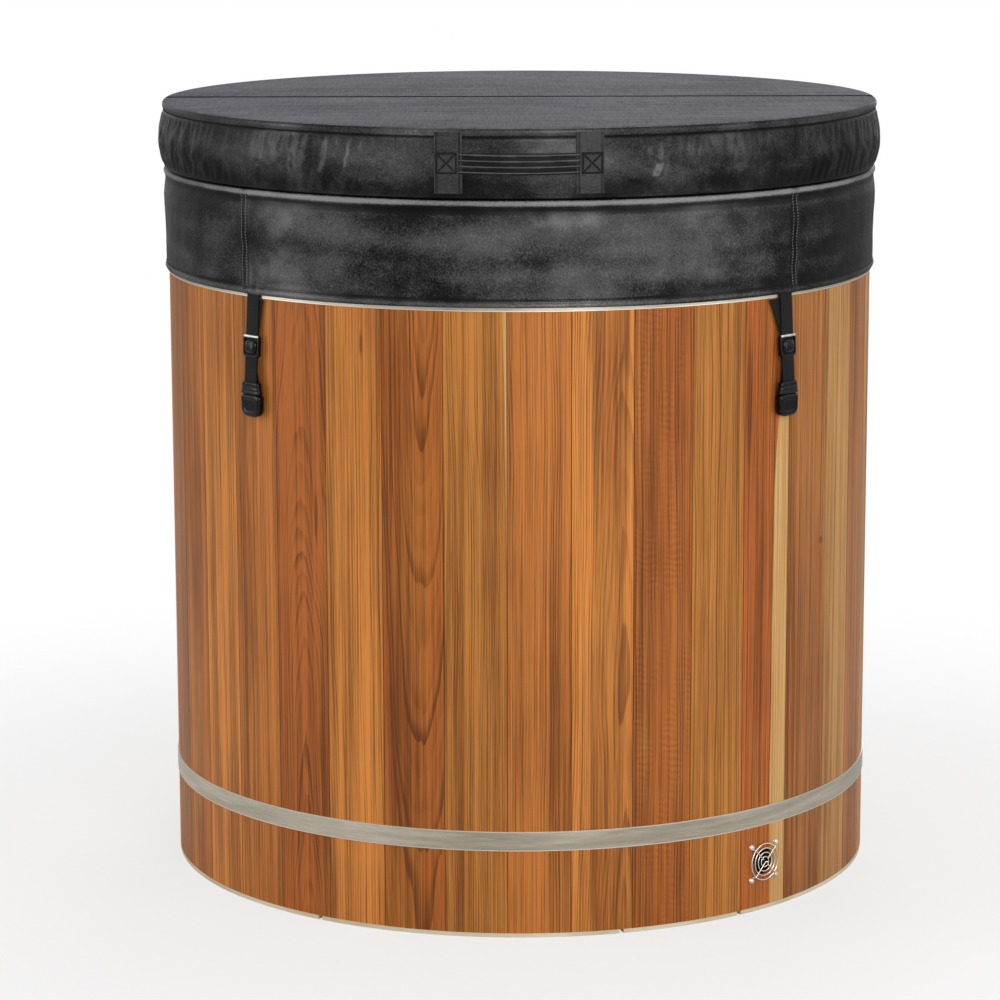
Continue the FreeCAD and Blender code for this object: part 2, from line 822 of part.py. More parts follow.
def cover_channel():
    """C-section stiffener along the front panel's fold edge."""
    edge = -fold_gap / 2 - skin_thickness - core_clearance
    low = cover_bottom + skin_thickness + core_clearance
    high = cover_top - skin_thickness - core_clearance
    half_length = math.sqrt(cover_radius ** 2 - channel_flange ** 2) - channel_end_clearance
    block = box(-half_length, half_length, edge - channel_flange, edge, low, high)
    hollow = box(
        -half_length - 1,
        half_length + 1,
        edge - channel_flange - 1,
        edge - channel_thickness,
        low + channel_thickness,
        high - channel_thickness,
    )
    return block.cut(hollow)


def cover_core():
    """Foam slab of the front panel, rebated for the channel."""
    slab = half_slab(
        cover_radius - skin_inset - core_clearance,
        fold_gap / 2 + skin_thickness + core_clearance,
        cover_bottom + skin_thickness + core_clearance,
        cover_top - skin_thickness - core_clearance,
    )
    return slab.cut(cover_channel())


def cover_skirt(relieved):
    """Half of the skirt that hangs outside the staves, with room for the hoop's bolt if relieved."""
    top = cover_bottom + skirt_overlap
    shell = ring(cover_radius + skirt_thickness, cover_radius, skirt_hem_height, top)
    reach = 2 * cover_radius
    shell = shell.common(box(-reach, reach, -reach, -skirt_end_gap, skirt_hem_height - 1, top + 1))
    if relieved:
        relief_top = upper_hoop_height + hoop_width + bolt_relief_clearance
        half_relief = bolt_relief_width / 2
        relief = box(-half_relief, half_relief, -reach, 0, skirt_hem_height - 1, relief_top)
        across = [e for e in relief.Edges if e.BoundBox.YLength > reach / 2]
        upper = [e for e in across if e.BoundBox.ZMin > relief_top - 1]
        shell = shell.cut(relief.makeFillet(bolt_relief_clearance, upper))
    return shell


def hinge_strip():
    """Vinyl strip sunk between the fold edges of the two panels."""
    half_gap = fold_gap / 2 - hinge_strip_clearance
    high = cover_top - hinge_strip_drop
    half_length = math.sqrt(cover_radius ** 2 - fold_gap ** 2)
    return box(-half_length, half_length, -half_gap, half_gap, high - skin_thickness, high)


def arc_band(inner_radius, thickness, start, end, z_low, z_high):
    """A curved plate concentric with the tub, between two azimuths."""
    outer_radius = inner_radius + thickness
    middle = (start + end) / 2
    edges = [
        Part.Arc(polar(outer_radius, start), polar(outer_radius, middle), polar(outer_radius, end)).toShape(),
        Part.makeLine(polar(outer_radius, end), polar(inner_radius, end)),
        Part.Arc(polar(inner_radius, end), polar(inner_radius, middle), polar(inner_radius, start)).toShape(),
        Part.makeLine(polar(inner_radius, start), polar(outer_radius, start)),
    ]
    plate = Part.Face(Part.Wire(edges)).extrude(Vector(0, 0, z_high - z_low))
    plate.translate(Vector(0, 0, z_low))
    return plate


def handle_patches():
    """Two full-height vinyl patches that the handle is sewn to."""
    low = cover_bottom + skirt_overlap + patch_margin / 2
    high = cover_top - patch_margin
    start = handle_half_angle - (patch_angle - handle_tab_angle) / 2
    return [
        arc_band(cover_radius, patch_thickness, start, start + patch_angle, low, high),
        arc_band(cover_radius, patch_thickness, -start - patch_angle, -start, low, high),
    ]


def handle():
    """Padded strap handle that bows clear of the cover between its sewn tabs."""
    root = cover_radius + patch_thickness
    top = handle_bottom + handle_height
    inner_ends = root
    outer_ends = root + handle_tab_thickness
    crown = cover_radius + handle_bow
    left = -handle_half_angle
    right = handle_half_angle
    outer_crown = polar(crown + handle_thickness, 0)
    outer_arc = Part.Arc(polar(outer_ends, left), outer_crown, polar(outer_ends, right))
    inner_arc = Part.Arc(polar(inner_ends, right), polar(crown, 0), polar(inner_ends, left))
    edges = [
        outer_arc.toShape(),
        Part.makeLine(polar(outer_ends, right), polar(inner_ends, right)),
        inner_arc.toShape(),
        Part.makeLine(polar(inner_ends, left), polar(outer_ends, left)),
    ]
    bow = Part.Face(Part.Wire(edges)).extrude(Vector(0, 0, handle_height))
    bow.translate(Vector(0, 0, handle_bottom))
    tab_end = handle_half_angle + handle_tab_angle
    right_tab = arc_band(root, handle_tab_thickness, handle_half_angle, tab_end, handle_bottom, top)
    left_tab = arc_band(root, handle_tab_thickness, -tab_end, -handle_half_angle, handle_bottom, top)
    return bow.fuse(right_tab).fuse(left_tab)


# ---- Straps, sliders and buckles ----------------------------------------------

loop_radius = (plug_bar_diameter + strap_thickness) / 2 + plug_bar_clearance
skirt_flat = math.sqrt(cover_radius ** 2 - (strap_width / 2) ** 2)
sewn_y = -skirt_flat + strap_thickness / 2 + strap_sewn_clearance
leg_top = Vector(0, sewn_y, skirt_hem_height - strap_bend_below_hem)
leg_bottom = Vector(0, -buckle_radius - loop_radius, plug_bar_height)
leg_up = (leg_top - leg_bottom).normalize()
leg_outward = Vector(0, -leg_up.z, leg_up.y)
leg_spacing = strap_thickness + strap_leg_gap


def on_leg(height, offset=0.0):
    """The point of the strap's outer leg at a height, moved inwards by an offset."""
    share = (height - leg_bottom.z) / leg_up.z
    return leg_bottom + leg_up * share - leg_outward * offset


def strap():
    """Webbing: sewn inside the skirt, down round the plug's bar and back up to a free end."""
    tail_root = Vector(0, -buckle_radius + loop_radius, plug_bar_height)
    under_bar = Vector(0, -buckle_radius, plug_bar_height - loop_radius)
    tail_meets = on_leg(plug_bar_height + strap_meeting_above_bar, leg_spacing)
    tail_end = on_leg(skirt_hem_height - strap_tail_below_hem, leg_spacing)
    edges = [
        Part.makeLine(Vector(0, sewn_y, skirt_hem_height + strap_sewn_length), leg_top),
        Part.makeLine(leg_top, leg_bottom),
        Part.Arc(leg_bottom, under_bar, tail_root).toShape(),
        Part.makeLine(tail_root, tail_meets),
        Part.makeLine(tail_meets, tail_end),
    ]
    ribbon = Part.Wire(edges).makeOffset2D(strap_thickness / 2, fill=True)
    solid = ribbon.extrude(Vector(strap_width, 0, 0))
    solid.translate(Vector(-strap_width / 2, 0, 0))
    return solid


def slider():
    """Ladder slider: end bars outside the two legs, middle bar behind them."""
    inner_x = strap_width / 2 + slider_side_clearance
    outer_x = inner_x + slider_rail
    half_depth = slider_depth / 2
    half_length = slider_length / 2
    legs_half = strap_thickness + strap_leg_gap / 2 + slider_leg_clearance
    body = None
    for side in (-1, 1):
        low_x = min(side * inner_x, side * outer_x)
        rail = box(low_x, low_x + slider_rail, -half_depth, half_depth, -half_length, half_length)
        body = rail if body is None else body.fuse(rail)
    for low in (-half_length, half_length - slider_bar):
        bar = box(-outer_x, outer_x, -half_depth, -legs_half, low, low + slider_bar)
        body = body.fuse(bar)
    middle = box(-outer_x, outer_x, legs_half, half_depth, -slider_bar / 2, slider_bar / 2)
    body = body.fuse(middle).removeSplitter()
    lean = math.degrees(math.atan2(leg_up.y, leg_up.z))
    body.rotate(Vector(0, 0, 0), Vector(1, 0, 0), -lean)
    body.translate(on_leg(skirt_hem_height - slider_below_hem, leg_spacing / 2))
    return body


def plug():
    """Plug of the buckle: strap bar between two arms, shoulder and centre guide."""
    y = -buckle_radius
    inner_x = strap_width / 2 + plug_arm_clearance
    outer_x = inner_x + plug_arm_width
    shoulder_top = plug_shoulder_height + plug_shoulder_thickness
    half_shoulder = plug_shoulder_width / 2
    body = box(
        -half_shoulder,
        half_shoulder,
        y - plug_shoulder_depth / 2,
        y + plug_shoulder_depth / 2,
        plug_shoulder_height,
        shoulder_top,
    )
    corners = [e for e in body.Edges if e.BoundBox.ZLength > plug_shoulder_thickness / 2]
    body = body.makeFillet(plug_corner, corners)
    for side in (-1, 1):
        low_x = min(side * inner_x, side * outer_x)
        arm = box(
            low_x,
            low_x + plug_arm_width,
            y - plug_arm_depth / 2,
            y + plug_arm_depth / 2,
            shoulder_top - 1,
            plug_bar_height + plug_arm_rise,
        )
        body = body.fuse(arm)
    body = body.fuse(rod_along_x(plug_bar_diameter, -inner_x - 1, inner_x + 1, y, plug_bar_height))
    guide = box(
        -plug_guide_width / 2,
        plug_guide_width / 2,
        y - prong_depth / 2,
        y + prong_depth / 2,
        plug_shoulder_height - plug_guide_length,
        plug_shoulder_height + 1,
    )
    return body.fuse(guide)


def prongs():
    """The plug's two sprung prongs with barbed tips."""
    outer_x = socket_half_width - prong_side_play
    inner_x = outer_x - prong_width
    barb_x = outer_x + barb_reach
    barb_shoulder = plug_shoulder_height - barb_shoulder_drop
    barb_nose = plug_shoulder_height - barb_nose_drop
    tip = plug_shoulder_height - prong_length
    shapes = []
    for side in (-1, 1):
        outline = [
            (side * inner_x, plug_shoulder_height),
            (side * outer_x, plug_shoulder_height),
            (side * outer_x, barb_shoulder),
            (side * barb_x, barb_shoulder),
            (side * barb_x, barb_nose),
            (side * outer_x, tip),
            (side * inner_x, tip),
        ]
        y = -buckle_radius
        shapes.append(plate_in_xz(outline, y - prong_depth / 2, y + prong_depth / 2))
    return shapes


def catch():
    """Catch of the buckle: socket with a window each side for the barbs."""
    y = -buckle_radius
    half_width = catch_width / 2
    half_depth = catch_depth / 2
    body = box(-half_width, half_width, y - half_depth, y + half_depth, catch_bottom, catch_top)
    across = [e for e in body.Edges if e.BoundBox.YLength > half_depth]
    lower = [e for e in across if e.BoundBox.ZMax < catch_bottom + 1]
    body = body.makeFillet(catch_corner, lower)
    front = y - prong_depth / 2 - socket_clearance
    back = y + prong_depth / 2 + socket_clearance
    floor = plug_shoulder_height - prong_length - prong_end_clearance
    body = body.cut(box(-socket_half_width, socket_half_width, front, back, floor, catch_top + 1))
    window_top = plug_shoulder_height - barb_shoulder_drop + barb_play
    body = body.cut(box(-half_width - 1, half_width + 1, front, back, floor, window_top))
    for x in (-catch_screw_spacing / 2, catch_screw_spacing / 2):
        screw_z = catch_bottom + catch_screw_rise
        hole = rod_along_y(catch_screw_hole, y - catch_depth, y + catch_depth, x, screw_z)
        body = body.cut(hole)
    return body


# ---- Assembly -----------------------------------------------------------------

ordinary_staves = [i for i in range(stave_count) if i not in (vent_stave, drain_stave)]
stave_groups = "abcdefg"
plain = plain_stave()
for group_number, letter in enumerate(stave_groups):
    first = len(ordinary_staves) * group_number // len(stave_groups)
    last = len(ordinary_staves) * (group_number + 1) // len(stave_groups)
    members = [turned(plain, stave_azimuth(i)) for i in ordinary_staves[first:last]]
    save("staves_" + letter, *members)
save("base_plate", base_plate())
save("stave_vent", turned(vent_stave_shape(), stave_azimuth(vent_stave)))
save("stave_drain", drain_stave_shape())
save("floor_boards", *floor_boards())
save("floor_joists", *floor_joists())
save("hoop_lower", hoop(lower_hoop_height))
save("hoop_upper", hoop(upper_hoop_height))
save("hoop_bolts", *(hoop_bolt(lower_hoop_height) + hoop_bolt(upper_hoop_height)))

vent_azimuth = stave_azimuth(vent_stave)
save("fan_guard", turned(fan_guard(), vent_azimuth))
save("fan_frame", turned(fan_frame(), vent_azimuth))
save("fan_rotor", turned(fan_rotor(), vent_azimuth))
save("fan_fasteners", *[turned(piece, vent_azimuth) for piece in fan_fasteners()])

save("drain_flange", turned(drain_flange(), drain_azimuth))
save("drain_strainer", turned(drain_strainer(), drain_azimuth))
save("drain_nut", turned(drain_nut(), drain_azimuth))
save("drain_pipe", turned(drain_pipe(), drain_azimuth))
save("valve_body", turned(valve_body(), drain_azimuth))
save("valve_plug", turned(valve_plug(), drain_azimuth))
save("valve_lever", turned(valve_lever(), drain_azimuth))

save("hinge_strip", hinge_strip())
for half, facing in (("front", 0.0), ("rear", 180.0)):
    save(half + "_core", turned(cover_core(), facing))
    save(half + "_channel", turned(cover_channel(), facing))
    save(half + "_skin", turned(cover_skin(), facing))
    save(half + "_skirt", turned(cover_skirt(half == "rear"), facing))
    save(half + "_handle", turned(handle(), facing))
    save(half + "_handle_patches", *[turned(patch, facing) for patch in handle_patches()])
    places = (("left", facing - strap_azimuth), ("right", facing + strap_azimuth))
    if half == "rear":
        places = (("right", facing - strap_azimuth), ("left", facing + strap_azimuth))
    spring_legs = []
    for side, azimuth in places:
        label = half + "_" + side
        save(label + "_strap", turned(strap(), azimuth))
        save(label + "_slider", turned(slider(), azimuth))
        save(label + "_plug", turned(plug(), azimuth))
        save(label + "_catch", turned(catch(), azimuth))
        spring_legs += [turned(leg, azimuth) for leg in prongs()]
    save(half + "_prongs", *spring_legs)
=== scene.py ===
import math

import bmesh
import bpy
import numpy as np
from mathutils import Matrix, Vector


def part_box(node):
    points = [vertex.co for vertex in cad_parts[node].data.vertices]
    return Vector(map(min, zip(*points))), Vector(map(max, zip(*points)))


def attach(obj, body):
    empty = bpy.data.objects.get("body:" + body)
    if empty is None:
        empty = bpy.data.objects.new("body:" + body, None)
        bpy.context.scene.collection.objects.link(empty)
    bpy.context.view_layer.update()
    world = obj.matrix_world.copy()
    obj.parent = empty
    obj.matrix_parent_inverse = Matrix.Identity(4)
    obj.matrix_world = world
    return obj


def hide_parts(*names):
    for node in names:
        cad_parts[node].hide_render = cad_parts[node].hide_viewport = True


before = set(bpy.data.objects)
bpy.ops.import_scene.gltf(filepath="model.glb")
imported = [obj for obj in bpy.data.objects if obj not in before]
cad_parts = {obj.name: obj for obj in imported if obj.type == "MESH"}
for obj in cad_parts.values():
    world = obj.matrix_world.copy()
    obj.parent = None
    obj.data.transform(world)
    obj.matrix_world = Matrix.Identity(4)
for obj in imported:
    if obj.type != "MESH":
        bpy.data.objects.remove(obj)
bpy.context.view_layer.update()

# ---- Base plate -----------------------------------------------------------------
# A cream plastic disc cut from rotational-moulded sheet.  The staves stand on it and
# its rim shows as a thin pale line under them, with weep slots for stray water.


def math_sign(operation, reflected=False):
    """The method behind an arithmetic sign: it adds the Math node that works the sign out."""

    def method(self, other=0.0):
        first, second = (other, self) if reflected else (self, other)
        return self.math(operation, first, second)

    return method


class Shade:
    """An output of a shader node.  Arithmetic on it adds the Math node that works it out."""

    def __init__(self, socket):
        self.socket = socket
        self.tree = socket.id_data

    def node(self, kind, inputs=None, output=0, stops=None, **settings):
        """Add a node: first its settings or its ramp's stops, then a value or link per socket."""
        made = self.tree.nodes.new("ShaderNode" + kind)
        for name, value in settings.items():
            setattr(made, name, value)
        if stops:
            ramp = made.color_ramp
            ramp.interpolation = "CONSTANT"
            while len(ramp.elements) < len(stops):
                ramp.elements.new(0.5)
            for element, (position, colour) in zip(ramp.elements, stops):
                element.position = position
                element.color = colour
        for key, value in (inputs or {}).items():
            if isinstance(value, Shade):
                self.tree.links.new(value.socket, made.inputs[key])
            else:
                made.inputs[key].default_value = value
        return Shade(made.outputs[output])

    def math(self, operation, first, second=0.0):
        """The result of a Math node."""
        return self.node("Math", {0: first, 1: second}, operation=operation)

    __add__, __radd__ = math_sign("ADD"), math_sign("ADD", reflected=True)
    __sub__, __rsub__ = math_sign("SUBTRACT"), math_sign("SUBTRACT", reflected=True)
    __mul__, __rmul__ = math_sign("MULTIPLY"), math_sign("MULTIPLY", reflected=True)
    __truediv__, __mod__ = math_sign("DIVIDE"), math_sign("FLOORED_MODULO")
    __pow__, __abs__ = math_sign("POWER"), math_sign("ABSOLUTE")
    floor, sine = math_sign("FLOOR"), math_sign("SINE")

    def step(self, low, high):
        """0 below low, 1 above high, and a smooth rise between them."""
        inputs = {"Value": self, "From Min": low, "From Max": high}
        return self.node("MapRange", inputs, interpolation_type="SMOOTHSTEP")

    def parts(self):
        """The three numbers of a vector."""
        return [self.node("SeparateXYZ", {0: self}, output=k) for k in range(3)]

    def vector(self, x, y, z):
        """Three numbers as one vector."""
        return self.node("CombineXYZ", {0: x, 1: y, 2: z})

    def stretched(self, stretch):
        """This place times a number, or times one number for each axis."""
        stretch = stretch if isinstance(stretch, tuple) else (stretch,) * 3
        return self.node("VectorMath", {0: self, 1: stretch}, operation="MULTIPLY")

    def noise(self, stretch, detail=2.0, rough=0.5):
        """Soft noise, with stretch cycles to the metre."""
        inputs = {"Vector": self.stretched(stretch), "Scale": 1.0, "Detail": detail, "Roughness": rough}
        return self.node("TexNoise", inputs)

    def cells(self, stretch, output="Distance"):
        """Distance to the nearest of scattered points, stretch points to the metre, or
        each cell's own Color."""
        inputs = {"Vector": self.stretched(stretch), "Scale": 1.0}
        return self.node("TexVoronoi", inputs, output=output, feature="F1")

    def luck(self, seed):
        """A chance number from 0 to 1 for each whole number."""
        return self.node("TexWhiteNoise", {"W": self + seed}, noise_dimensions="1D")

    def mix(self, none, full):
        """The colour none where this is 0, and full where it is 1."""
        return self.node("Mix", {0: self, 6: none, 7: full}, output=2, data_type="RGBA")

    def scaled(self, amount):
        """This colour times a number."""
        return self.node("VectorMath", {0: self, "Scale": amount}, operation="SCALE")

    def bump(self, distance, strength=1.0):
        """Normals for a height from 0 to 1 that stands for this distance in metres."""
        inputs = {"Height": self, "Distance": distance, "Strength": strength}
        return self.node("Bump", inputs)


def colour(code):
    """A colour written as it looks on a screen, such as b9773f, as linear light."""
    shown = [int(code[k:k + 2], 16) / 255 for k in (0, 2, 4)]
    light = [v / 12.92 if v < 0.0405 else ((v + 0.055) / 1.055) ** 2.4 for v in shown]
    return (*light, 1.0)


def new_finish(name, constants, place="Object"):
    """A material, its shader, and the place of each point on the piece."""
    material = bpy.data.materials.new(name)
    material.use_nodes = True
    tree = material.node_tree
    shader = tree.nodes["Principled BSDF"]
    for socket, value in constants.items():
        shader.inputs[socket].default_value = value
    spot = tree.nodes.new("ShaderNodeTexCoord").outputs[place]
    return material, shader, Shade(spot)


def feed(shader, **sources):
    """Link what varies over a surface to the shader's sockets."""
    for name, source in sources.items():
        shader.id_data.links.new(source.socket, shader.inputs[name.replace("_", " ")])


def dress(material, *nodes):
    """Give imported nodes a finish."""
    for name in nodes:
        for material_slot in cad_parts[name].material_slots:
            material_slot.material = material


base_finish, shader, place = new_finish("base_cream", {"Roughness": 0.6})
cream, cream_worn = colour("ddd3bb"), colour("c5b795")
cloud = place.noise(9, detail=4)
pits = place.noise(420, detail=1)
feed(shader, Base_Color=cloud.step(0.35, 0.7).mix(cream, cream_worn), Normal=pits.bump(0.00012))
dress(base_finish, "base_plate")

# ---- Staves ---------------------------------------------------------------------
# Thirty-seven cedar staves, planed inside and turned round outside, with a bead and
# cove along their edges and eased arrises, oiled once.  Each came from another board,
# so tone and grain change from stave to stave.

tub_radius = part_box("base_plate")[1].x
stave_count = 37
stave_pitch = math.radians(360 / stave_count)
first_stave = math.radians(2.96)
vent_stave = 4
vent_azimuth = first_stave + vent_stave * stave_pitch
vent_height = 0.073
stave_width = tub_radius * stave_pitch
ring_width = 0.0040
leftmost_board = 8

honey, amber, russet = colour("c67d3a"), colour("b36d31"), colour("9f5925")
olive, drift, straw = colour("ad7032"), colour("9c6436"), colour("b4854e")
rose = colour("ae5f29")
sapwood, heart_line, knot_brown = colour("dcb979"), colour("54270f"), colour("4a2812")

# One row for each board, from left to right across the front: its tone, how straight
# its grain is, the share of its width that is sapwood, and how rippled its figure is.
boards = (
    (drift, 0.9, 0.0, 0.0), (amber, 0.7, 0.0, 0.0), (honey, 0.45, 0.0, 0.0), (amber, 0.9, 0.0, 0.0),
    (russet, 0.0, 0.0, 0.0), (honey, 0.35, 0.0, 0.0), (russet, 0.04, 0.0, 0.0), (olive, 0.8, 0.09, 0.0),
    (amber, 0.6, 0.0, 0.0), (honey, 0.12, 0.0, 0.0), (russet, 0.75, 0.0, 1.0), (olive, 1.0, 0.0, 0.0),
    (rose, 0.5, 0.36, 0.0), (drift, 0.6, 0.0, 0.0), (straw, 0.9, 0.0, 0.0), (drift, 1.0, 0.0, 0.0),
    (straw, 0.9, 0.0, 0.0),
)

# Knots and dark streaks: azimuth in degrees, height, half width, half height, and how
# far the grain bends round them.
marks = (
    (55.9, 0.534, 0.0045, 0.007, 0.006), (118, 0.31, 0.007, 0.011, 0.008),
    (-141, 0.7, 0.006, 0.010, 0.007), (-33.0, 0.60, 0.0040, 0.045, 0.002),
    (37.9, 0.76, 0.0075, 0.120, 0.003), (-24.7, 0.853, 0.0030, 0.022, 0.001),
    (164, 0.44, 0.0050, 0.060, 0.002),
)


def cedar(place, across, depth, along, board, tone, straight, ripple, bend=0.0):
    """Colour, roughness and relief of a cedar board.

    Growth rings are circles round a pith that leans behind the board's face.  A pith
    close behind it gives arches, and one far to the side gives straight lines.
    """
    side = board.luck(0.3).step(0.49, 0.51) * 2 - 1
    pith_across = side * (straight * 0.24 + 0.004)
    lean = (board.luck(1.7) - 0.5) * 0.12
    pith_depth = board.luck(2.9) * 0.03 + 0.02 + (along - 0.5) * lean
    spot = place.vector(across, depth + board * 0.37, along)
    wander = spot.noise((9, 9, 1.7), detail=2) * 0.03 + spot.noise((60, 60, 5), detail=2) * 0.004
    sideways = (across - pith_across) ** 2
    behind = (depth + abs(pith_depth) + 0.004) ** 2
    radius = (sideways + behind) ** 0.5 + wander + bend
    ring = radius / (board.luck(4.1) * 0.0020 + ring_width * 0.6)
    phase = ring % 1.0
    late = phase.step(0.25, 0.88) * (1 - phase.step(0.9, 1.0))
    strong = (ring.floor() + board * 17).luck(0.5)
    line = late * (strong ** 1.5 * 0.85 + 0.15)
    fibre = spot.noise((1000, 1000, 14), detail=3, rough=0.7)
    pores = spot.noise((430, 430, 3.5), detail=3, rough=0.7)
    streak = spot.noise((150, 150, 0.9), detail=4, rough=0.65)
    bands = spot.noise((34, 34, 0.7), detail=3, rough=0.55)
    cloud = spot.noise((8, 8, 2.6), detail=3)
    waves = (along * 640 + spot.noise((60, 60, 30)) * 11 + across * 90).sine()
    bars = waves * spot.noise((40, 40, 10)).step(0.42, 0.66) * ripple
    shadow = line * 0.62 + (streak - 0.5) * 1.9 + (bands - 0.5) * 1.2 + (pores - 0.5) * 2.0
    shadow = shadow + (fibre - 0.5) * 0.9 + (cloud - 0.5) * 1.0
    turned = (bands.step(0.4, 0.62) * 0.5).mix(tone, cloud.step(0.35, 0.65).mix(olive, russet))
    light_tone = turned.scaled(1.33)
    dark_tone = (line * 0.32 + 0.12).mix(turned.scaled(0.5), heart_line)
    shade = (shadow + 0.3).step(-0.25, 1.15).mix(light_tone, dark_tone).scaled(bars * 0.10 + 1.0)
    roughness = 0.5 + (fibre - 0.5) * 0.3 - line * 0.08
    return shade, roughness, fibre * 0.6 + line * 0.4


stave_finish, shader, place = new_finish("cedar_staves", {"Specular IOR Level": 0.18})
x, y, z = place.parts()
azimuth = place.math("ARCTAN2", x, 0 - y)
radius = (x * x + y * y) ** 0.5
turn = (azimuth - first_stave) / stave_pitch + 0.5
board = (turn.floor() + leftmost_board) % stave_count
across = (turn % 1.0 - 0.5) * stave_width
in_run = (board % len(boards) + 0.5) / len(boards)
tone_stops = [(k / len(boards), row[0]) for k, row in enumerate(boards)]
figure_stops = [(k / len(boards), (row[1], row[2], row[3], 1.0)) for k, row in enumerate(boards)]
tone = place.node("ValToRGB", {0: in_run}, stops=tone_stops)
straight, sap_share, ripple = place.node("ValToRGB", {0: in_run}, stops=figure_stops).parts()
tone = tone.scaled(board.luck(7.7) * 0.14 + 0.93)
mark, bend = 0.0, 0.0
for mark_azimuth, mark_height, half_width, half_height, push in marks:
    sideways = (azimuth - math.radians(mark_azimuth)) * (tub_radius / half_width)
    upward = (z - mark_height) / half_height
    distance = (sideways * sideways + upward * upward) ** 0.5
    mark = mark + (1 - distance.step(0.35, 1.15))
    bend = bend + (1 - distance.step(0.0, 5.0)) * push
wood, roughness, relief = cedar(place, across, tub_radius - radius, z, board, tone, straight, ripple, bend)
wide = sap_share.step(0.15, 0.25)
taper = wide * (1 - z.step(0.60, 0.98)) + (1 - wide) * z.step(0.42, 0.92)
sap_edge = 1.06 - sap_share * taper * 2.1
wander = (place.vector(board, 0.0, z).noise((1, 1, 2.1), detail=3) - 0.5) * 0.30
sap = (across / (stave_width / 2) + wander * sap_share.step(0.0, 0.05)).step(sap_edge - 0.03, sap_edge + 0.03)
sap_grain = place.vector(across, z, board).noise((380, 2.2, 1), detail=4, rough=0.7)
wood = (sap * 0.85).mix(wood, (sap_grain.step(0.3, 0.72) * 0.75).mix(sapwood, amber))
wood = (mark * (relief * 0.5 + 0.45)).mix(wood, knot_brown)
joint = abs(across / (stave_width / 2)).step(0.978, 0.992)
wood = (joint * 0.7).mix(wood, heart_line)
# Painted shade: the wall of the vent's bore is coloured near black.
beside_vent = (azimuth - vent_azimuth) * tub_radius
from_vent = (beside_vent * beside_vent + (z - vent_height) ** 2) ** 0.5
bore_painted_shade = (1 - from_vent.step(0.0208, 0.0222)) * (tub_radius - radius).step(0.0010, 0.0050)
wood = (bore_painted_shade * 0.92).mix(wood, colour("120a06"))
feed(shader, Base_Color=wood, Roughness=roughness, Normal=relief.bump(0.00022))
dress(stave_finish, "stave_vent", "stave_drain", *["staves_" + letter for letter in "abcdefg"])

# ---- Floor ----------------------------------------------------------------------
# Seven tongued cedar boards, sprung into the croze of the staves, over three joists.
# They are left unoiled, so they are paler and drier than the outside.

floor_corner, floor_top_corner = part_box("floor_boards")
floor_board_count = 7
floor_board_width = (floor_top_corner.x - floor_corner.x) / floor_board_count
dry_cedar = colour("c08a58")
for name, node, along_axis, across_axis in (("cedar_floor", "floor_boards", 1, 0),
                                            ("cedar_joists", "floor_joists", 0, 1)):
    finish, shader, place = new_finish(name, {"Specular IOR Level": 0.25})
    parts = place.parts()
    board_place = (parts[across_axis] - floor_corner.x) / floor_board_width
    board = board_place.floor() + 40
    across = (board_place % 1.0 - 0.5) * floor_board_width
    tone = board.luck(3.3).mix(dry_cedar, amber)
    depth = floor_top_corner.z - parts[2]
    wood, roughness, relief = cedar(
        place, across, depth, parts[along_axis], board, tone, straight=board.luck(5.1), ripple=0.0
    )
    feed(shader, Base_Color=wood, Roughness=roughness + 0.15, Normal=relief.bump(0.0003))
    dress(finish, node)

# ---- Hoops ----------------------------------------------------------------------
# Two bands of stainless strip, brushed along their length, with draw lugs welded on
# their ends and a bolt through each pair.  The upper one sits under the cover's skirt.

hoop_finish, shader, place = new_finish("hoop_brushed_steel", {"Metallic": 1.0})
x, y, z = place.parts()
azimuth = place.math("ARCTAN2", x, 0 - y)
along_band = place.vector(azimuth, z, 0.0)
brushed = along_band.noise((14, 2600, 1), detail=3, rough=0.7)
smear = along_band.noise((3.5, 90, 1), detail=3)
rolled = along_band.noise((1.6, 3, 1), detail=1)
steel, steel_warm = colour("827b6c"), colour("d6cfbf")
# Painted highlight: the top and bottom edges of each band are coloured nearly the palest steel.
hoop_edge_highlight = 0.0
for hoop in ("hoop_lower", "hoop_upper"):
    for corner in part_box(hoop):
        hoop_edge_highlight = hoop_edge_highlight + (1 - abs(z - corner.z).step(0.0008, 0.0024))
sheen = brushed.step(0.3, 0.7) * 0.45 + smear.step(0.35, 0.75) * 0.25 + rolled.step(0.35, 0.65) * 0.3
feed(
    shader,
    Base_Color=place.math("MAXIMUM", sheen, hoop_edge_highlight * 0.95).mix(steel, steel_warm),
    Roughness=0.30 + brushed * 0.14 + smear * 0.06,
    Normal=brushed.bump(0.00006),
)
dress(hoop_finish, "hoop_lower", "hoop_upper")

fastener_finish, shader, place = new_finish("fastener_steel", {"Metallic": 1.0})
turned_marks = place.noise(900, detail=3)
stain = place.noise(60, detail=2)
feed(
    shader,
    Base_Color=stain.step(0.4, 0.8).mix(colour("d9d8d4"), colour("a9a49a")),
    Roughness=0.2 + turned_marks * 0.2,
    Normal=turned_marks.bump(0.00003),
)
dress(fastener_finish, "hoop_bolts", "fan_fasteners", "drain_strainer", "valve_lever")

# ---- Vent, fan and wire guard ---------------------------------------------------
# A small axial fan dries the space under the floor.  Outside, a guard of chromed wire
# rings welded under four ribs is held by pan-head screws through its eyelets.

guard_rings = (0.0273, 0.0204, 0.0140, 0.0076)
wire_radius = 0.00095
screw_spacing = 0.025
eyelet_plane = 0.5325
ring_plane = 0.5370
rib_plane = 0.5386


def place_at(points, azimuth):
    """Carry points built at the front, where outwards is -Y, round to an azimuth."""
    turn = np.array(Matrix.Rotation(azimuth, 3, "Z"))
    return points @ turn.T


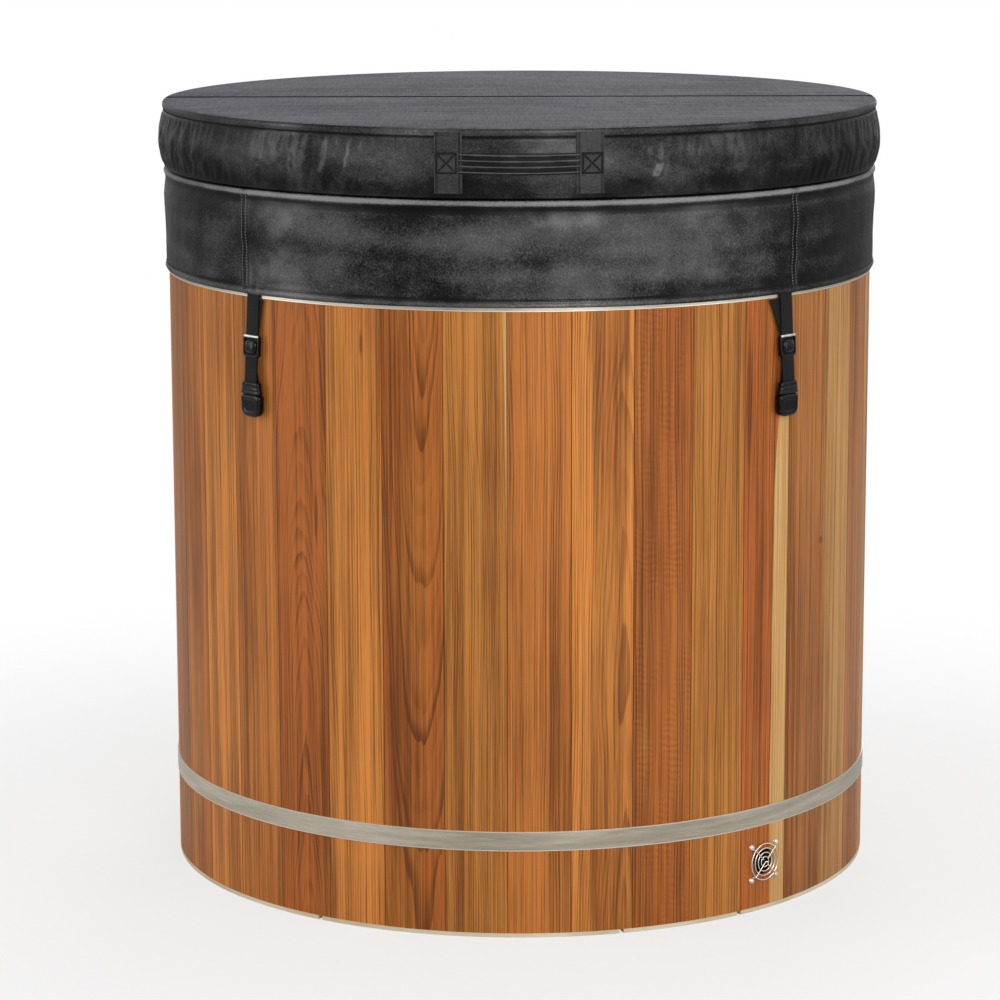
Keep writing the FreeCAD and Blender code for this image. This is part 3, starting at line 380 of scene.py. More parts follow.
def surface(grids, ends=True):
    """Vertices and faces of grids of points, each with rows of columns.

    The last column of a row joins its first, and ends closes the first and last rows
    with a flat face.
    """
    vertices, faces = [], []
    start = 0
    for points in grids:
        rows, columns = points.shape[:2]
        index = start + np.arange(rows * columns).reshape(rows, columns)
        if ends:
            faces.append(index[0, ::-1].tolist())
            faces.append(index[-1].tolist())
        index = np.concatenate([index, index[:, :1]], axis=1)
        corners = (index[:-1, :-1], index[:-1, 1:], index[1:, 1:], index[1:, :-1])
        faces.extend(np.stack(corners, axis=-1).reshape(-1, 4).tolist())
        vertices.append(points.reshape(-1, 3))
        start += rows * columns
    return np.concatenate(vertices), faces


def add_piece(name, grids, material, body, replaced=(), azimuth=0.0, rings=()):
    """A smooth-shaded piece with its faces outwards, riding on a body.

    Its grids are closed at both ends, and its rings run back into themselves.  All are
    built at the front and carried round to the azimuth.
    """
    vertices, faces = surface(grids)
    if rings:
        ring_vertices, ring_faces = surface(rings, ends=False)
        faces += [[k + len(vertices) for k in face] for face in ring_faces]
        vertices = np.concatenate([vertices, ring_vertices])
    mesh = bpy.data.meshes.new(name)
    mesh.from_pydata(place_at(vertices, azimuth).tolist(), [], faces)
    shell = bmesh.new()
    shell.from_mesh(mesh)
    bmesh.ops.remove_doubles(shell, verts=shell.verts, dist=1e-6)
    bmesh.ops.recalc_face_normals(shell, faces=shell.faces)
    shell.to_mesh(mesh)
    shell.free()
    mesh.shade_smooth()
    mesh.materials.append(material)
    piece = bpy.data.objects.new(name, mesh)
    bpy.context.scene.collection.objects.link(piece)
    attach(piece, body)
    if replaced:
        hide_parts(*replaced)
    return piece


def rod(path, radius, upright=(0.0, 1.0, 0.0), sides=12, closed=False):
    """A round bar along a path: circles square to it, set out from a direction that the
    path never takes."""
    ahead = np.roll(path, -1, axis=0) - np.roll(path, 1, axis=0)
    if not closed:
        ahead[0], ahead[-1] = path[1] - path[0], path[-1] - path[-2]
    ahead /= np.linalg.norm(ahead, axis=1, keepdims=True)
    side = np.cross(ahead, np.array(upright))
    side /= np.linalg.norm(side, axis=1, keepdims=True)
    over = np.cross(side, ahead)
    angle = np.linspace(0, 2 * math.pi, sides, endpoint=False)[None, :, None]
    tube = path[:, None] + radius * (np.cos(angle) * side[:, None] + np.sin(angle) * over[:, None])
    return np.concatenate([tube, tube[:1]]) if closed else tube


def smooth_path(points, count):
    """Points at even steps along a curve that runs through the given ones."""
    points = np.asarray(points, float)
    padded = np.concatenate([2 * points[:1] - points[1:2], points, 2 * points[-1:] - points[-2:-1]])
    spans = len(points) - 1
    t = np.linspace(0, spans, count)
    k = np.minimum(t.astype(int), spans - 1)
    f = (t - k)[:, None]
    a, b, c, d = (padded[k + j] for j in range(4))
    square, cube = 2 * a - 5 * b + 4 * c - d, 3 * b - a - 3 * c + d
    return 0.5 * (2 * b + (c - a) * f + square * f ** 2 + cube * f ** 3)


guard_finish, shader, place = new_finish("guard_chrome", {"Metallic": 1.0})
haze = place.noise(700, detail=2)
feed(
    shader,
    Base_Color=haze.mix(colour("f2eee8"), colour("cfc6bb")),
    Roughness=0.08 + haze * 0.18,
    Normal=haze.bump(0.00003),
)
eyelet_radius = 0.0036
eyelet_wire_radius = 0.0011


def upright_ring(radius, plane, count):
    """Points of a circle that faces outwards, on a plane this far in front of the axis."""
    angle = np.linspace(0, 2 * math.pi, count, endpoint=False)
    return np.stack([radius * np.cos(angle), np.full(count, -plane), radius * np.sin(angle)], axis=1)


vent_middle = np.array([0.0, 0.0, vent_height])
ribs, rings = [], []
for ring_radius in guard_rings:
    circle = upright_ring(ring_radius, ring_plane, 64)
    rings.append(rod(circle + vent_middle, wire_radius, closed=True))
eyelet_reach = screw_spacing * math.sqrt(2)
for x_side, z_side in ((-1, 1), (1, 1), (-1, -1), (1, -1)):
    outward = np.array([x_side, 0.0, z_side]) / math.sqrt(2)
    bent = (x_side, z_side) == (-1, -1)
    inner_end = [[0.0048, -rib_plane - 0.0012, -0.0008]] if bent else []
    reaches = (
        (guard_rings[3] * (0.1 if bent else 0.75), rib_plane),
        (guard_rings[2], rib_plane),
        (guard_rings[0] + 0.0015, rib_plane),
        (eyelet_reach - 0.0072, eyelet_plane + 0.0030),
        (eyelet_reach - 0.0040, eyelet_plane + 0.0012),
    )
    route = inner_end + [list(outward * reach + np.array([0.0, -depth, 0.0])) for reach, depth in reaches]
    ribs.append(rod(smooth_path(route, 28) + vent_middle, wire_radius))
    eye = eyelet_reach * outward + upright_ring(eyelet_radius, eyelet_plane + 0.0012, 32)
    rings.append(rod(eye + vent_middle, eyelet_wire_radius, closed=True))
add_piece("vent_guard", ribs, guard_finish, "tub", ["fan_guard"], vent_azimuth, rings)

# Pan heads: a low dome with a cross recess, over the shanks that pass to the fan.
head_radius = 0.0042
head_rise = 0.0030
head_face = eyelet_plane + 0.0022
head_sides = 40
recess_depth = 0.0011
recess_half_width = 0.0005
reach = np.linspace(1.0, 0.0, 15)[:-1, None]
angle = np.linspace(0, 2 * math.pi, head_sides, endpoint=False)
flat_x, flat_z = head_radius * reach * np.cos(angle), head_radius * reach * np.sin(angle)
in_cross = (np.minimum(abs(flat_x), abs(flat_z)) < recess_half_width) & (reach < 0.55)
dome = head_rise * np.sqrt(np.clip(1.02 - reach ** 2.6, 0, 1)) - recess_depth * in_cross
foot_row = np.stack([flat_x[:1], np.zeros((1, head_sides)), flat_z[:1]], axis=-1)
dome_rows = np.stack([flat_x, -dome, flat_z], axis=-1)
head = np.concatenate([foot_row, dome_rows])
either_side = (-screw_spacing, screw_spacing)
corners = [np.array([x, -head_face, vent_height + z]) for x in either_side for z in either_side]
heads = [head + corner for corner in corners]
add_piece("vent_screw_heads", heads, fastener_finish, "tub", azimuth=vent_azimuth)

fan_finish, shader, place = new_finish("fan_black_nylon", {"Specular IOR Level": 0.4})
dust = place.noise(180, detail=4)
feed(
    shader,
    Base_Color=dust.step(0.45, 0.8).mix(colour("101113"), colour("24211d")),
    Roughness=0.45 + dust * 0.25,
    Normal=dust.bump(0.00008),
)
dress(fan_finish, "fan_frame", "fan_rotor")

# ---- Drain ----------------------------------------------------------------------
# A white plastic flange with a steel strainer in the floor, a backing nut and pipe
# under it, and a brass quarter-turn valve with a hose thread behind the tub.

drain_finish, shader, place = new_finish("drain_white_plastic", {"Specular IOR Level": 0.45})
mottle = place.noise(35, detail=3)
moulded = place.noise(800, detail=2)
feed(
    shader,
    Base_Color=mottle.step(0.3, 0.8).mix(colour("e4e2da"), colour("cfcabb")),
    Roughness=0.34 + moulded * 0.16,
    Normal=moulded.bump(0.00005),
)
dress(drain_finish, "drain_flange", "drain_nut", "drain_pipe")

brass_finish, shader, place = new_finish("valve_brass", {"Metallic": 1.0})
tarnish = place.noise(55, detail=5, rough=0.65)
cast = place.noise(650, detail=3)
feed(
    shader,
    Base_Color=tarnish.step(0.35, 0.75).mix(colour("d9b56b"), colour("9a7237")),
    Roughness=0.26 + tarnish * 0.2 + cast * 0.08,
    Normal=cast.bump(0.00012),
)
dress(brass_finish, "valve_body", "valve_plug")

# ---- Cover panels ---------------------------------------------------------------
# Two half-round foam panels, stiffened by a steel channel along the fold, each in an
# envelope of leather-grained vinyl: a heathered top sewn to a side band with a welt.

cover_low, cover_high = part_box("front_skin")[0].z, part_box("front_skin")[1].z
cover_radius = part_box("front_skin")[1].x
fold_edge = -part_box("front_skin")[1].y
cover_height = cover_high - cover_low
panel_middle = 0.22
panel_steps = 576
welt_drop = 0.0125


def vinyl_grain(place, size):
    """Leather grain: pebbles between fine creases, size metres across."""
    crease = place.noise(0.35 / size, detail=3, rough=0.7)
    return place.cells(1 / size) * 0.7 + crease * 0.6


def vinyl(name, dark, light, sweep, light_shade_bands, seams=()):
    """Leather-grained vinyl, with long shallow folds that are bumped, and whose shading is painted into the
    colour with strength sweep.

    Each band of painted light round the cover is given as (height, spread, amount, wander): a painted
    highlight, or painted shade where the amount is below zero. seams gives the azimuths of joins, along which
    shade is painted.
    """
    finish, shader, place = new_finish(name, {"Specular IOR Level": 0.08, "Coat Roughness": 0.22})
    x, y, z = place.parts()
    cloud = place.noise((4, 4, 8), detail=1)
    folds = place.noise((2.6, 2.6, 27), detail=1)
    rubbed = place.noise((17, 17, 24), detail=3)
    speck = place.noise(720, detail=1, rough=0.8)
    grain = vinyl_grain(place, 0.0028)
    crinkle = place.noise((24, 24, 40), detail=4, rough=0.62)
    mottle = (cloud - 0.5) * 2.3 + (rubbed - 0.5) * 1.0 + (speck - 0.5) * 1.2 + (grain - 0.65) * 0.9
    # The folds' noise also lightens and darkens the colour: painted shade of the folds, with strength sweep.
    mottle = mottle + (folds - 0.5) * sweep + 0.40
    waver = (rubbed - 0.5) + (cloud - 0.5)
    # Bands of painted highlight, or painted shade where the amount is below zero, at set heights.
    for height, spread, amount, wander in light_shade_bands:
        mottle = mottle + (1 - abs(z + waver * wander - height).step(spread * 0.2, spread)) * amount
    # Painted shade along each join: the lapped band between its two stitch rows and a thin line beside it are
    # darkened.
    for seam in seams:
        away = abs((place.math("ARCTAN2", x, 0 - y) - seam) * cover_radius)
        seam_lap_shade = 1 - away.step(0.0042, 0.0058)
        seam_ditch_shade = 1 - abs(away - 0.0078).step(0.0004, 0.0016)
        mottle = mottle - seam_lap_shade * 0.40 - seam_ditch_shade * 0.5
    # Painted shade: the colour darkens towards the two sides of the tub, as x squared.
    beside = (x * x) / (cover_radius * cover_radius)
    mottle = mottle - beside * 0.60
    # Painted shade: the colour is darkened within a few millimetres of the crease at the lid's lower edge, on
    # the lid and on the skirt.
    crease = 1 - abs(z - cover_low).step(0.0006, 0.0026)
    shine = (mottle - 0.9).step(0.0, 1.1)
    mottle = (mottle - crease * 1.6).step(-0.1, 1.15)
    roughness = 0.44 - cloud.step(0.3, 0.75) * 0.14 + (grain - 0.6) * 0.12
    relief = grain * 0.36 + crinkle * 1.5 + folds * 3.0
    gloss = ((rubbed + cloud).step(0.85, 1.2) * 0.42 + 0.10) * (1 - beside.step(0.22, 0.72))
    tone = shine.mix(mottle.mix(dark, light), colour("868687"))
    feed(shader, Base_Color=tone, Roughness=roughness, Coat_Weight=gloss, Normal=relief.bump(0.0010, 0.9))
    return finish


seam_azimuth = math.radians(46.8)
# Bands of painted light as (height, spread, amount, wander): painted highlights on the welt, the lid's upper
# side, the skirt's roll, its middle and its hem's bead; painted shade under the welt, above the lid's lower
# edge, under the roll and above the hem's bead.
cover_light_shade_bands = [(cover_high - 0.0075, 0.006, 0.40, 0.002), (cover_high - 0.0140, 0.003, -0.6, 0.0),
                (cover_high - 0.036, 0.026, 0.22, 0.05), (cover_low + 0.010, 0.022, -0.30, 0.02)]
skirt_light_shade_bands = [(cover_low - 0.0052, 0.0062, 1.60, 0.001), (cover_low - 0.0155, 0.0085, -0.80, 0.003),
                (cover_low - 0.078, 0.050, 0.16, 0.05), (cover_low - 0.1395, 0.0024, -0.7, 0.0),
                (cover_low - 0.1465, 0.004, 0.55, 0.0)]
cover_finish = vinyl("cover_vinyl", colour("020203"), colour("454546"), 0.6, cover_light_shade_bands)
skirt_finish = vinyl("skirt_vinyl", colour("040405"), colour("525253"), 1.3, skirt_light_shade_bands,
                     (-seam_azimuth, seam_azimuth, math.pi - seam_azimuth, seam_azimuth - math.pi))

top_finish, shader, place = new_finish("cover_top_heather", {"Specular IOR Level": 0.04})
x, y, z = place.parts()
thread = place.noise((26, 620, 1), detail=3, rough=0.7)
slub = place.noise((5, 130, 1), detail=3, rough=0.6)
cross = place.noise((420, 14, 1), detail=3, rough=0.7)
faded = place.noise((4, 4, 1), detail=2)
heather = thread * 0.45 + slub * 0.3 + cross * 0.25
# Painted shade along the fold: a band about 10 mm either side of it is coloured near black.
fold_painted_shade = 1 - abs(y).step(0.0095, 0.0105)
tone = (heather + (faded - 0.5) * 0.18).step(0.38, 0.62).mix(colour("47464b"), colour("77767d"))
feed(shader, Base_Color=fold_painted_shade.mix(tone, colour("070707")), Roughness=0.8 + heather * 0.15,
     Normal=heather.bump(0.0005, 0.9))

# The hinge strip is near black, darker than the cover's vinyl: painted shade of the gap at the fold.
strip_finish, shader, place = new_finish("fold_strip_vinyl", {"Specular IOR Level": 0.2})
grain = vinyl_grain(place, 0.0013)
feed(shader, Base_Color=grain.mix(colour("060606"), colour("161616")), Roughness=0.7 + grain * 0.15,
     Normal=grain.bump(0.0003))
dress(strip_finish, "hinge_strip")


def panel_outline(angle):
    """Distance from the panel's middle to its edge: a circle met by the fold's straight
    edge, with the corners rounded by a high-power mean of the two distances."""
    cosine, sine = np.cos(angle), np.sin(angle)
    to_fold = (panel_middle - fold_edge) / np.maximum(-cosine, 1e-3)
    to_fold = np.where(cosine < -1e-3, to_fold, 1e3)
    to_circle = -panel_middle * cosine + np.sqrt(cover_radius ** 2 - (panel_middle * sine) ** 2)
    power = 200.0
    return (to_circle ** -power + to_fold ** -power) ** (-1 / power)


def undulation(x, y):
    """Gentle irregular swell from crossing waves, from about -1 to 1."""
    waves = ((1.0, 0.6, 0.3), (2.3, -1.7, 1.9), (3.9, 2.8, 4.2), (6.1, -4.3, 2.7))
    return sum(np.sin(a * x + b * y + c) / (k + 1.6) for k, (a, b, c) in enumerate(waves)) / 1.2


def panel_rows(edge, direction, rows):
    """Points for rows given as (share of the way out to the edge, height)."""
    grid = []
    for share, height in rows:
        reach = edge * share
        height = np.broadcast_to(height, edge.shape)
        x, y = reach * direction[:, 0], reach * direction[:, 1] - panel_middle
        grid.append(np.stack([x, y, height], axis=1))
    return np.array(grid)


def billow(band, free, frames=20, most=0.009):
    """Cloth simulation of the side band: it swells and creases where it isn't held, as
    loosely sewn vinyl does over foam.  No point moves further than most."""
    vertices, faces = surface([band], ends=False)
    mesh = bpy.data.meshes.new("side_band")
    mesh.from_pydata(vertices.tolist(), [], faces)
    cloth = bpy.data.objects.new("side_band", mesh)
    bpy.context.scene.collection.objects.link(cloth)
    held = cloth.vertex_groups.new(name="held")
    for k, value in enumerate(1 - free.ravel()):
        held.add([k], float(value), "REPLACE")
    modifier = cloth.modifiers.new("Cloth", "CLOTH")
    settings = modifier.settings
    settings.quality = 4
    settings.mass = 0.25
    settings.tension_stiffness = settings.compression_stiffness = 18
    settings.shear_stiffness = 8
    settings.bending_stiffness = 0.6
    settings.use_pressure = True
    settings.uniform_pressure_force = 4.0
    settings.shrink_min = -0.02
    settings.effector_weights.gravity = 0
    settings.vertex_group_mass = "held"
    modifier.point_cache.frame_end = frames
    for number in range(1, frames + 1):
        bpy.context.scene.frame_set(number)
    swollen = np.empty(vertices.size, np.float32)
    cloth.evaluated_get(bpy.context.evaluated_depsgraph_get()).data.vertices.foreach_get("co", swollen)
    bpy.context.scene.frame_set(1)
    bpy.data.objects.remove(cloth)
    move = swollen.reshape(band.shape) - band
    length = np.linalg.norm(move, axis=-1, keepdims=True)
    return band + move * np.tanh(length / most) * most / np.maximum(length, 1e-9)


# The panel's grid runs from the middle of its underside, out round its side band and
# over the welt, to the middle of its top.
angle = np.linspace(0, 2 * math.pi, panel_steps, endpoint=False)
edge = panel_outline(angle)
direction = np.stack([np.sin(angle), -np.cos(angle)], axis=1)
azimuth = np.arctan2(edge * direction[:, 0], panel_middle - edge * direction[:, 1])
aside = np.degrees(abs(azimuth))
toward_ends = np.clip((aside - 60) / 26, 0, 1) ** 2
on_arc = np.hypot(edge * direction[:, 0], edge * direction[:, 1] - panel_middle) > cover_radius - 0.004
beside_handle = np.clip((aside - 14) / 7, 0, 1) * on_arc
under = [(share, cover_low) for share in np.linspace(0.03, 0.96, 9)]
lower_edge = ((0.0, 0.0036), (0.0012, 0.0014), (0.003, 0.0004))
under += [(1 - inset / edge, cover_low + rise) for rise, inset in lower_edge]
band = []
for height in np.linspace(0.0055, cover_height - welt_drop - 0.0035, 22):
    share = height / (cover_height - welt_drop)
    middle = np.sin(math.pi * share)
    swell = middle ** 1.3 * (0.0010 + 0.0060 * toward_ends)
    swell = swell + beside_handle * middle * 0.0012 * undulation(azimuth * 9, share * 3)
    swell = swell + beside_handle * middle * 0.0007 * undulation(azimuth * 31 + share * 4, share * 7)
    band.append((1 + swell / edge, cover_low + height))
# The welt: drop below the cover's top, and reach past its radius.  Along the fold the
# panel has no welt, and is drawn in by by_fold there.
welt_profile = ((0.0140, -0.0010), (0.0128, -0.0014), (0.0112, 0.0004), (0.0086, 0.0014), (0.0056, 0.0015),
                (0.0032, 0.0009), (0.0016, -0.0006), (0.0007, -0.0022))
by_fold = np.array([0.0003, 0.0003, 0.0001, 0.0, 0.0, 0.0002, 0.0007, 0.0016])
over = [(1 + (out * on_arc - inward * (1 - on_arc)) / edge, cover_high - drop)
        for (drop, out), inward in zip(welt_profile, by_fold)]
over += [(share, cover_high + 0.0010 * math.cos(math.pi / 2 * share) ** 0.7 - 0.0004)
         for share in np.linspace(0.985, 0.03, 18)]
band_grid = panel_rows(edge, direction, band)
share = np.linspace(0, 1, len(band))[:, None]
free = np.clip(np.sin(math.pi * share) * 4, 0, 1) * beside_handle
free = free * np.clip((panel_middle - edge * direction[:, 1] - 0.025) / 0.03, 0, 1)
band_grid = billow(band_grid, free)
under_grid, over_grid = panel_rows(edge, direction, under), panel_rows(edge, direction, over)
panel_grid = np.concatenate([under_grid, band_grid, over_grid])

# Each half of the cover: its name, its body, and the azimuth that it faces.
halves = (("front", "front_half", 0.0), ("rear", "cover", math.pi))
for half, body, facing in halves:
    panel = add_piece(
        half + "_cover_panel", [panel_grid], cover_finish, body, [half + "_skin"], facing
    )
    panel.data.materials.append(top_finish)
    height = np.array([face.center.z for face in panel.data.polygons])
    panel.data.polygons.foreach_set("material_index", (height > cover_high - 0.0016).astype(np.int32))

foam_finish, shader, place = new_finish("cover_bead_foam", {"Specular IOR Level": 0.2})
bead = place.cells(320)
tone = bead.step(0.1, 0.7).mix(colour("f2f1ec"), colour("d8d6cf"))
feed(shader, Base_Color=tone, Roughness=0.8 + bead * 0.1, Normal=bead.bump(0.0006))
dress(foam_finish, "front_core", "rear_core")

channel_finish, shader, place = new_finish("channel_zinc", {"Metallic": 1.0})
spangle = place.cells(90, output="Color").parts()[0]
feed(shader, Base_Color=spangle.mix(colour("a4a9ad"), colour("c4c8ca")), Roughness=0.3 + spangle * 0.2)
dress(channel_finish, "front_channel", "rear_channel")

# ---- Skirt ----------------------------------------------------------------------
# A flap of the same vinyl, sewn on under each panel's lower edge and rolled over
# there.  It hangs outside the staves; its hem is bound, and its joins are twice sewn.

skirt_top = cover_low
hem_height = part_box("front_skirt")[0].z
skirt_radius = cover_radius - 0.0011
skirt_cloth = 0.0012
skirt_steps = 560
relief_height = 0.942
relief_drop = cover_low - relief_height
hem_width = 0.0110
skirt_drop = cover_low - hem_height + 0.0030
strap_azimuth = math.radians(45)

# Drop below the panel's edge and reach past the skirt's radius, down to the hem.
skirt_body = ((-0.0030, -0.0040), (-0.0006, -0.0034), (0.0010, -0.0008), (0.0026, 0.0012), (0.0045, 0.0020),
              (0.0065, 0.0018), (0.0090, 0.0006), (0.0120, -0.0004), (0.0160, -0.0008), (0.0210, -0.0003),
              (0.0290, 0.0009), (0.0400, 0.0016), (0.0550, 0.0014), (0.0700, 0.0008), (0.0850, 0.0003),
              (0.1000, 0.0000), (0.1150, -0.0002), (0.1290, -0.0003))
# The bound hem: height above its lower edge, and reach.
skirt_hem = ((hem_width, -0.0005), (0.0074, -0.0006), (0.0058, 0.0006), (0.0040, 0.0014), (0.0022, 0.0012),
             (0.0008, 0.0003), (0.0000, -0.0008))
skirt_profile = np.array(skirt_body + tuple((skirt_drop - rise, reach) for rise, reach in skirt_hem))


def skirt_reach(azimuth, drop):
    """How far out the skirt's face stands at an azimuth and a drop: its sewn profile, a
    slow sway that grows towards the hem, slanting folds that run off each join, a lapped
    pucker beside it, and a swelling over each strap that is sewn inside."""
    reach = np.interp(drop, skirt_profile[:, 0], skirt_profile[:, 1])
    hang = np.clip(drop / skirt_drop, 0, 1)
    middle = np.sin(math.pi * hang)
    below_roll = np.clip((drop - 0.010) / 0.015, 0, 1)
    sway = 0.0008 * undulation(azimuth * 5.0, hang * 2.0) * hang
    sway += 0.0008 * undulation(azimuth * 13.0 + hang * 4.0, hang * 5.0) * middle
    for side in (-1, 1):
        away = (azimuth - side * seam_azimuth) * cover_radius
        slant = np.sin((abs(away) * 0.8 + drop * 1.1) * 2 * math.pi / 0.052 + side)
        sway += 0.0017 * slant * middle * np.exp(-((abs(away) - 0.045) / 0.045) ** 2)
        sway += 0.0011 / (1 + (away / 0.0072) ** 8) * np.clip(drop / 0.006, 0, 1)
        sway -= 0.0008 * np.exp(-((abs(away) - 0.015) / 0.006) ** 2) * below_roll
        beside_strap = (azimuth - side * strap_azimuth) * cover_radius
        near_hem = np.clip((drop - skirt_drop + 0.030) / 0.020, 0, 1)
        sway += 0.0024 * np.exp(-(beside_strap / 0.019) ** 4) * near_hem
    return skirt_radius + reach + np.maximum(sway, -0.0003)


def about_axis(radius, azimuth, height):
    """Points at a radius and an azimuth round the tub's axis, and at a height."""
    sideways, back = radius * np.sin(azimuth), -radius * np.cos(azimuth)
    return np.stack(np.broadcast_arrays(sideways, back, height), axis=-1)


def skirt_shell(relieved):
    """The skirt as a thin closed shell: down the outer face, round the hem and up inside.
    A relieved one is cut away over the hoop's bolt."""
    end = math.pi / 2 - 0.0014
    azimuth = np.linspace(-end, end, skirt_steps)[:, None]
    sag = 0.0010 * np.clip((np.degrees(abs(azimuth)) - 10) / 20, 0, 1)
    drop = skirt_profile[:, 0][None, :] * (1 + sag / skirt_drop)
    if relieved:
        beside = abs(azimuth) * cover_radius
        lift = np.clip((0.066 - beside) / 0.008, 0, 1)
        lowest = skirt_drop - (skirt_drop - relief_drop) * lift
        drop = np.minimum(drop, lowest - (skirt_drop - drop) * 0.02)
    outer = skirt_reach(azimuth, drop)
    inner = outer - skirt_cloth
    radius = np.concatenate([outer, inner[:, ::-1]], axis=1)
    height = skirt_top - np.concatenate([drop, drop[:, ::-1]], axis=1)
    return about_axis(radius, azimuth, height)


def stitch_row(azimuth, height, radius, length=0.0031, thick=0.0006):
    """Small threads laid end to end: one oval bead for each point of a sewn line."""
    centre = about_axis(radius, azimuth, height)
    ahead = np.gradient(centre, axis=0)
    ahead /= np.linalg.norm(ahead, axis=1, keepdims=True)
    out = np.broadcast_to(about_axis(1.0, azimuth, 0.0), centre.shape)
    side = np.cross(ahead, out)
    turn = np.linspace(0, 2 * math.pi, 6, endpoint=False)
    run = np.array([-0.5, -0.38, 0.0, 0.38, 0.5])
    girth = np.array([0.25, 0.8, 1.0, 0.8, 0.25])
    beads = []
    for k in range(len(centre)):
        spine = centre[k] + np.outer(run * length, ahead[k])
        loop = np.cos(turn)[:, None] * side[k] + np.sin(turn)[:, None] * out[k]
        beads.append(spine[:, None] + thick * girth[:, None, None] * loop[None])
    return beads


def thread(name, specular, dark, light, roughness):
    """Sewing thread, its colour and gloss broken up by the twist of its plies."""
    finish, shader, place = new_finish(name, {"Specular IOR Level": specular})
    ply = place.noise(1500, detail=1)
    tone = ply.mix(colour(dark), colour(light))
    feed(shader, Base_Color=tone, Roughness=roughness + ply * 0.2, Normal=ply.bump(0.0001))
    return finish


pale_thread = thread("sewing_thread", 0.3, "4a4a4c", "8e8e92", 0.55)
dark_thread = thread("dark_thread", 0.2, "030303", "101011", 0.6)

stitch_step = 0.0042
join_row_offset = 0.0042
hem_drop = skirt_drop - 0.0090
groove_height = cover_high - 0.0130
bolt_gap = 0.075
for half, body, facing in halves:
    at_bolt = half == "rear"
    shell = skirt_shell(relieved=at_bolt)
    skirt = add_piece(
        half + "_skirt_cloth", [shell], skirt_finish, body, [half + "_skirt"], facing
    )
    along_hem = np.arange(-1.5, 1.5, stitch_step / cover_radius)
    if at_bolt:
        along_hem = along_hem[abs(along_hem) * cover_radius > bolt_gap]
    hemming = stitch_row(along_hem, skirt_top - hem_drop, skirt_reach(along_hem, hem_drop), thick=0.0008)
    around_top = np.arange(-1.46, 1.46, stitch_step / cover_radius)
    hemming += stitch_row(around_top, groove_height, cover_radius - 0.0001)
    sewn = []
    drops = np.arange(0.004, skirt_drop - 0.012, stitch_step)
    for side in (-1, 1):
        for offset in (-join_row_offset, join_row_offset):
            line = side * seam_azimuth + offset / cover_radius
            sewn += stitch_row(line, skirt_top - drops, skirt_reach(line, drops), 0.0026, 0.0007)
    seam_thread = add_piece(
        half + "_seam_stitching", sewn, pale_thread, body, azimuth=facing
    )
    hem_thread = add_piece(
        half + "_hem_stitching", hemming, dark_thread, body, azimuth=facing
    )

# ---- Handles --------------------------------------------------------------------
# A flat vinyl strap with four sewn-in cords bows out between two full-height patches,
# and each of its ends is held by a box of stitches with a cross in it.

handle_low, handle_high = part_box("front_handle")[0].z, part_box("front_handle")[1].z
patch_low, patch_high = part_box("front_handle_patches")[0].z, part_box("front_handle_patches")[1].z
free_angle = math.radians(8.5)
tuck_angle = math.radians(0.35)
patch_start, patch_end = math.radians(8.35), math.radians(12.55)
patch_thickness = 0.0014
patch_sunk = 0.0006
bow = 0.0125
handle_thickness = 0.0016
cord_count = 4
cord_radius = 0.0021
cord_inset = 0.0025


def rounded(width, height, corner, steps=5):
    """The corners of a rectangle with rounded corners, as (width, height) pairs."""
    quarter = np.linspace(0, math.pi / 2, steps)
    points = []
    for k, (sx, sy) in enumerate(((1, 1), (-1, 1), (-1, -1), (1, -1))):
        turn = quarter + k * math.pi / 2
        centre = np.array([sx * (width / 2 - corner), sy * (height / 2 - corner)])
        points.append(centre + corner * np.stack([np.cos(turn), np.sin(turn)], axis=1))
    return np.concatenate(points)


def band_on_cover(start, end, low, high, root, thickness, steps, rise=None):
    """A flat band round the cover between two azimuths: an edge-rounded section, carried
    round, with rise giving how far it stands off at each azimuth."""
    section = rounded(thickness, high - low, min(thickness, high - low) * 0.4)
    azimuth = np.linspace(start, end, steps)[:, None]
    off = 0.0 if rise is None else rise(azimuth)
    radius = root + thickness / 2 + off + section[None, :, 0]
    return about_axis(radius, azimuth, (low + high) / 2 + section[None, :, 1])


def handle_rise(azimuth):
    """The bow of the free span: a flat-topped arch that leaves the tabs smoothly."""
    share = np.clip(abs(azimuth) / free_angle, 0, 1)
    return bow * (1 - share ** 2.4) ** 1.5


webbing_finish, shader, place = new_finish("handle_vinyl", {"Specular IOR Level": 0.16})
grain = vinyl_grain(place, 0.0013)
worn = place.noise((50, 50, 90), detail=3)
cord_step = (handle_high - handle_low - 2 * cord_inset) / (cord_count - 1)
from_cord = ((place.parts()[2] - (handle_low + cord_inset)) / cord_step + 0.5) % 1.0
# Painted shade between the cords: the strap is coloured near black there.
between_cords_shade = abs(from_cord - 0.5).step(0.22, 0.36)
tone = worn.step(0.4, 0.75).mix(colour("141415"), colour("3a3a3b"))
# Painted highlight along each cord's crest, paler where the noise is high.
cord_crest_highlight = 1 - abs(from_cord - 0.56).step(0.03, 0.14)
tone = (cord_crest_highlight * (worn * 0.6 + 0.3)).mix(tone, colour("6c6c6d"))
feed(shader, Base_Color=(between_cords_shade * 0.9).mix(tone, colour("040404")), Roughness=0.42 + worn * 0.2,
     Normal=grain.bump(0.0004, 0.8))

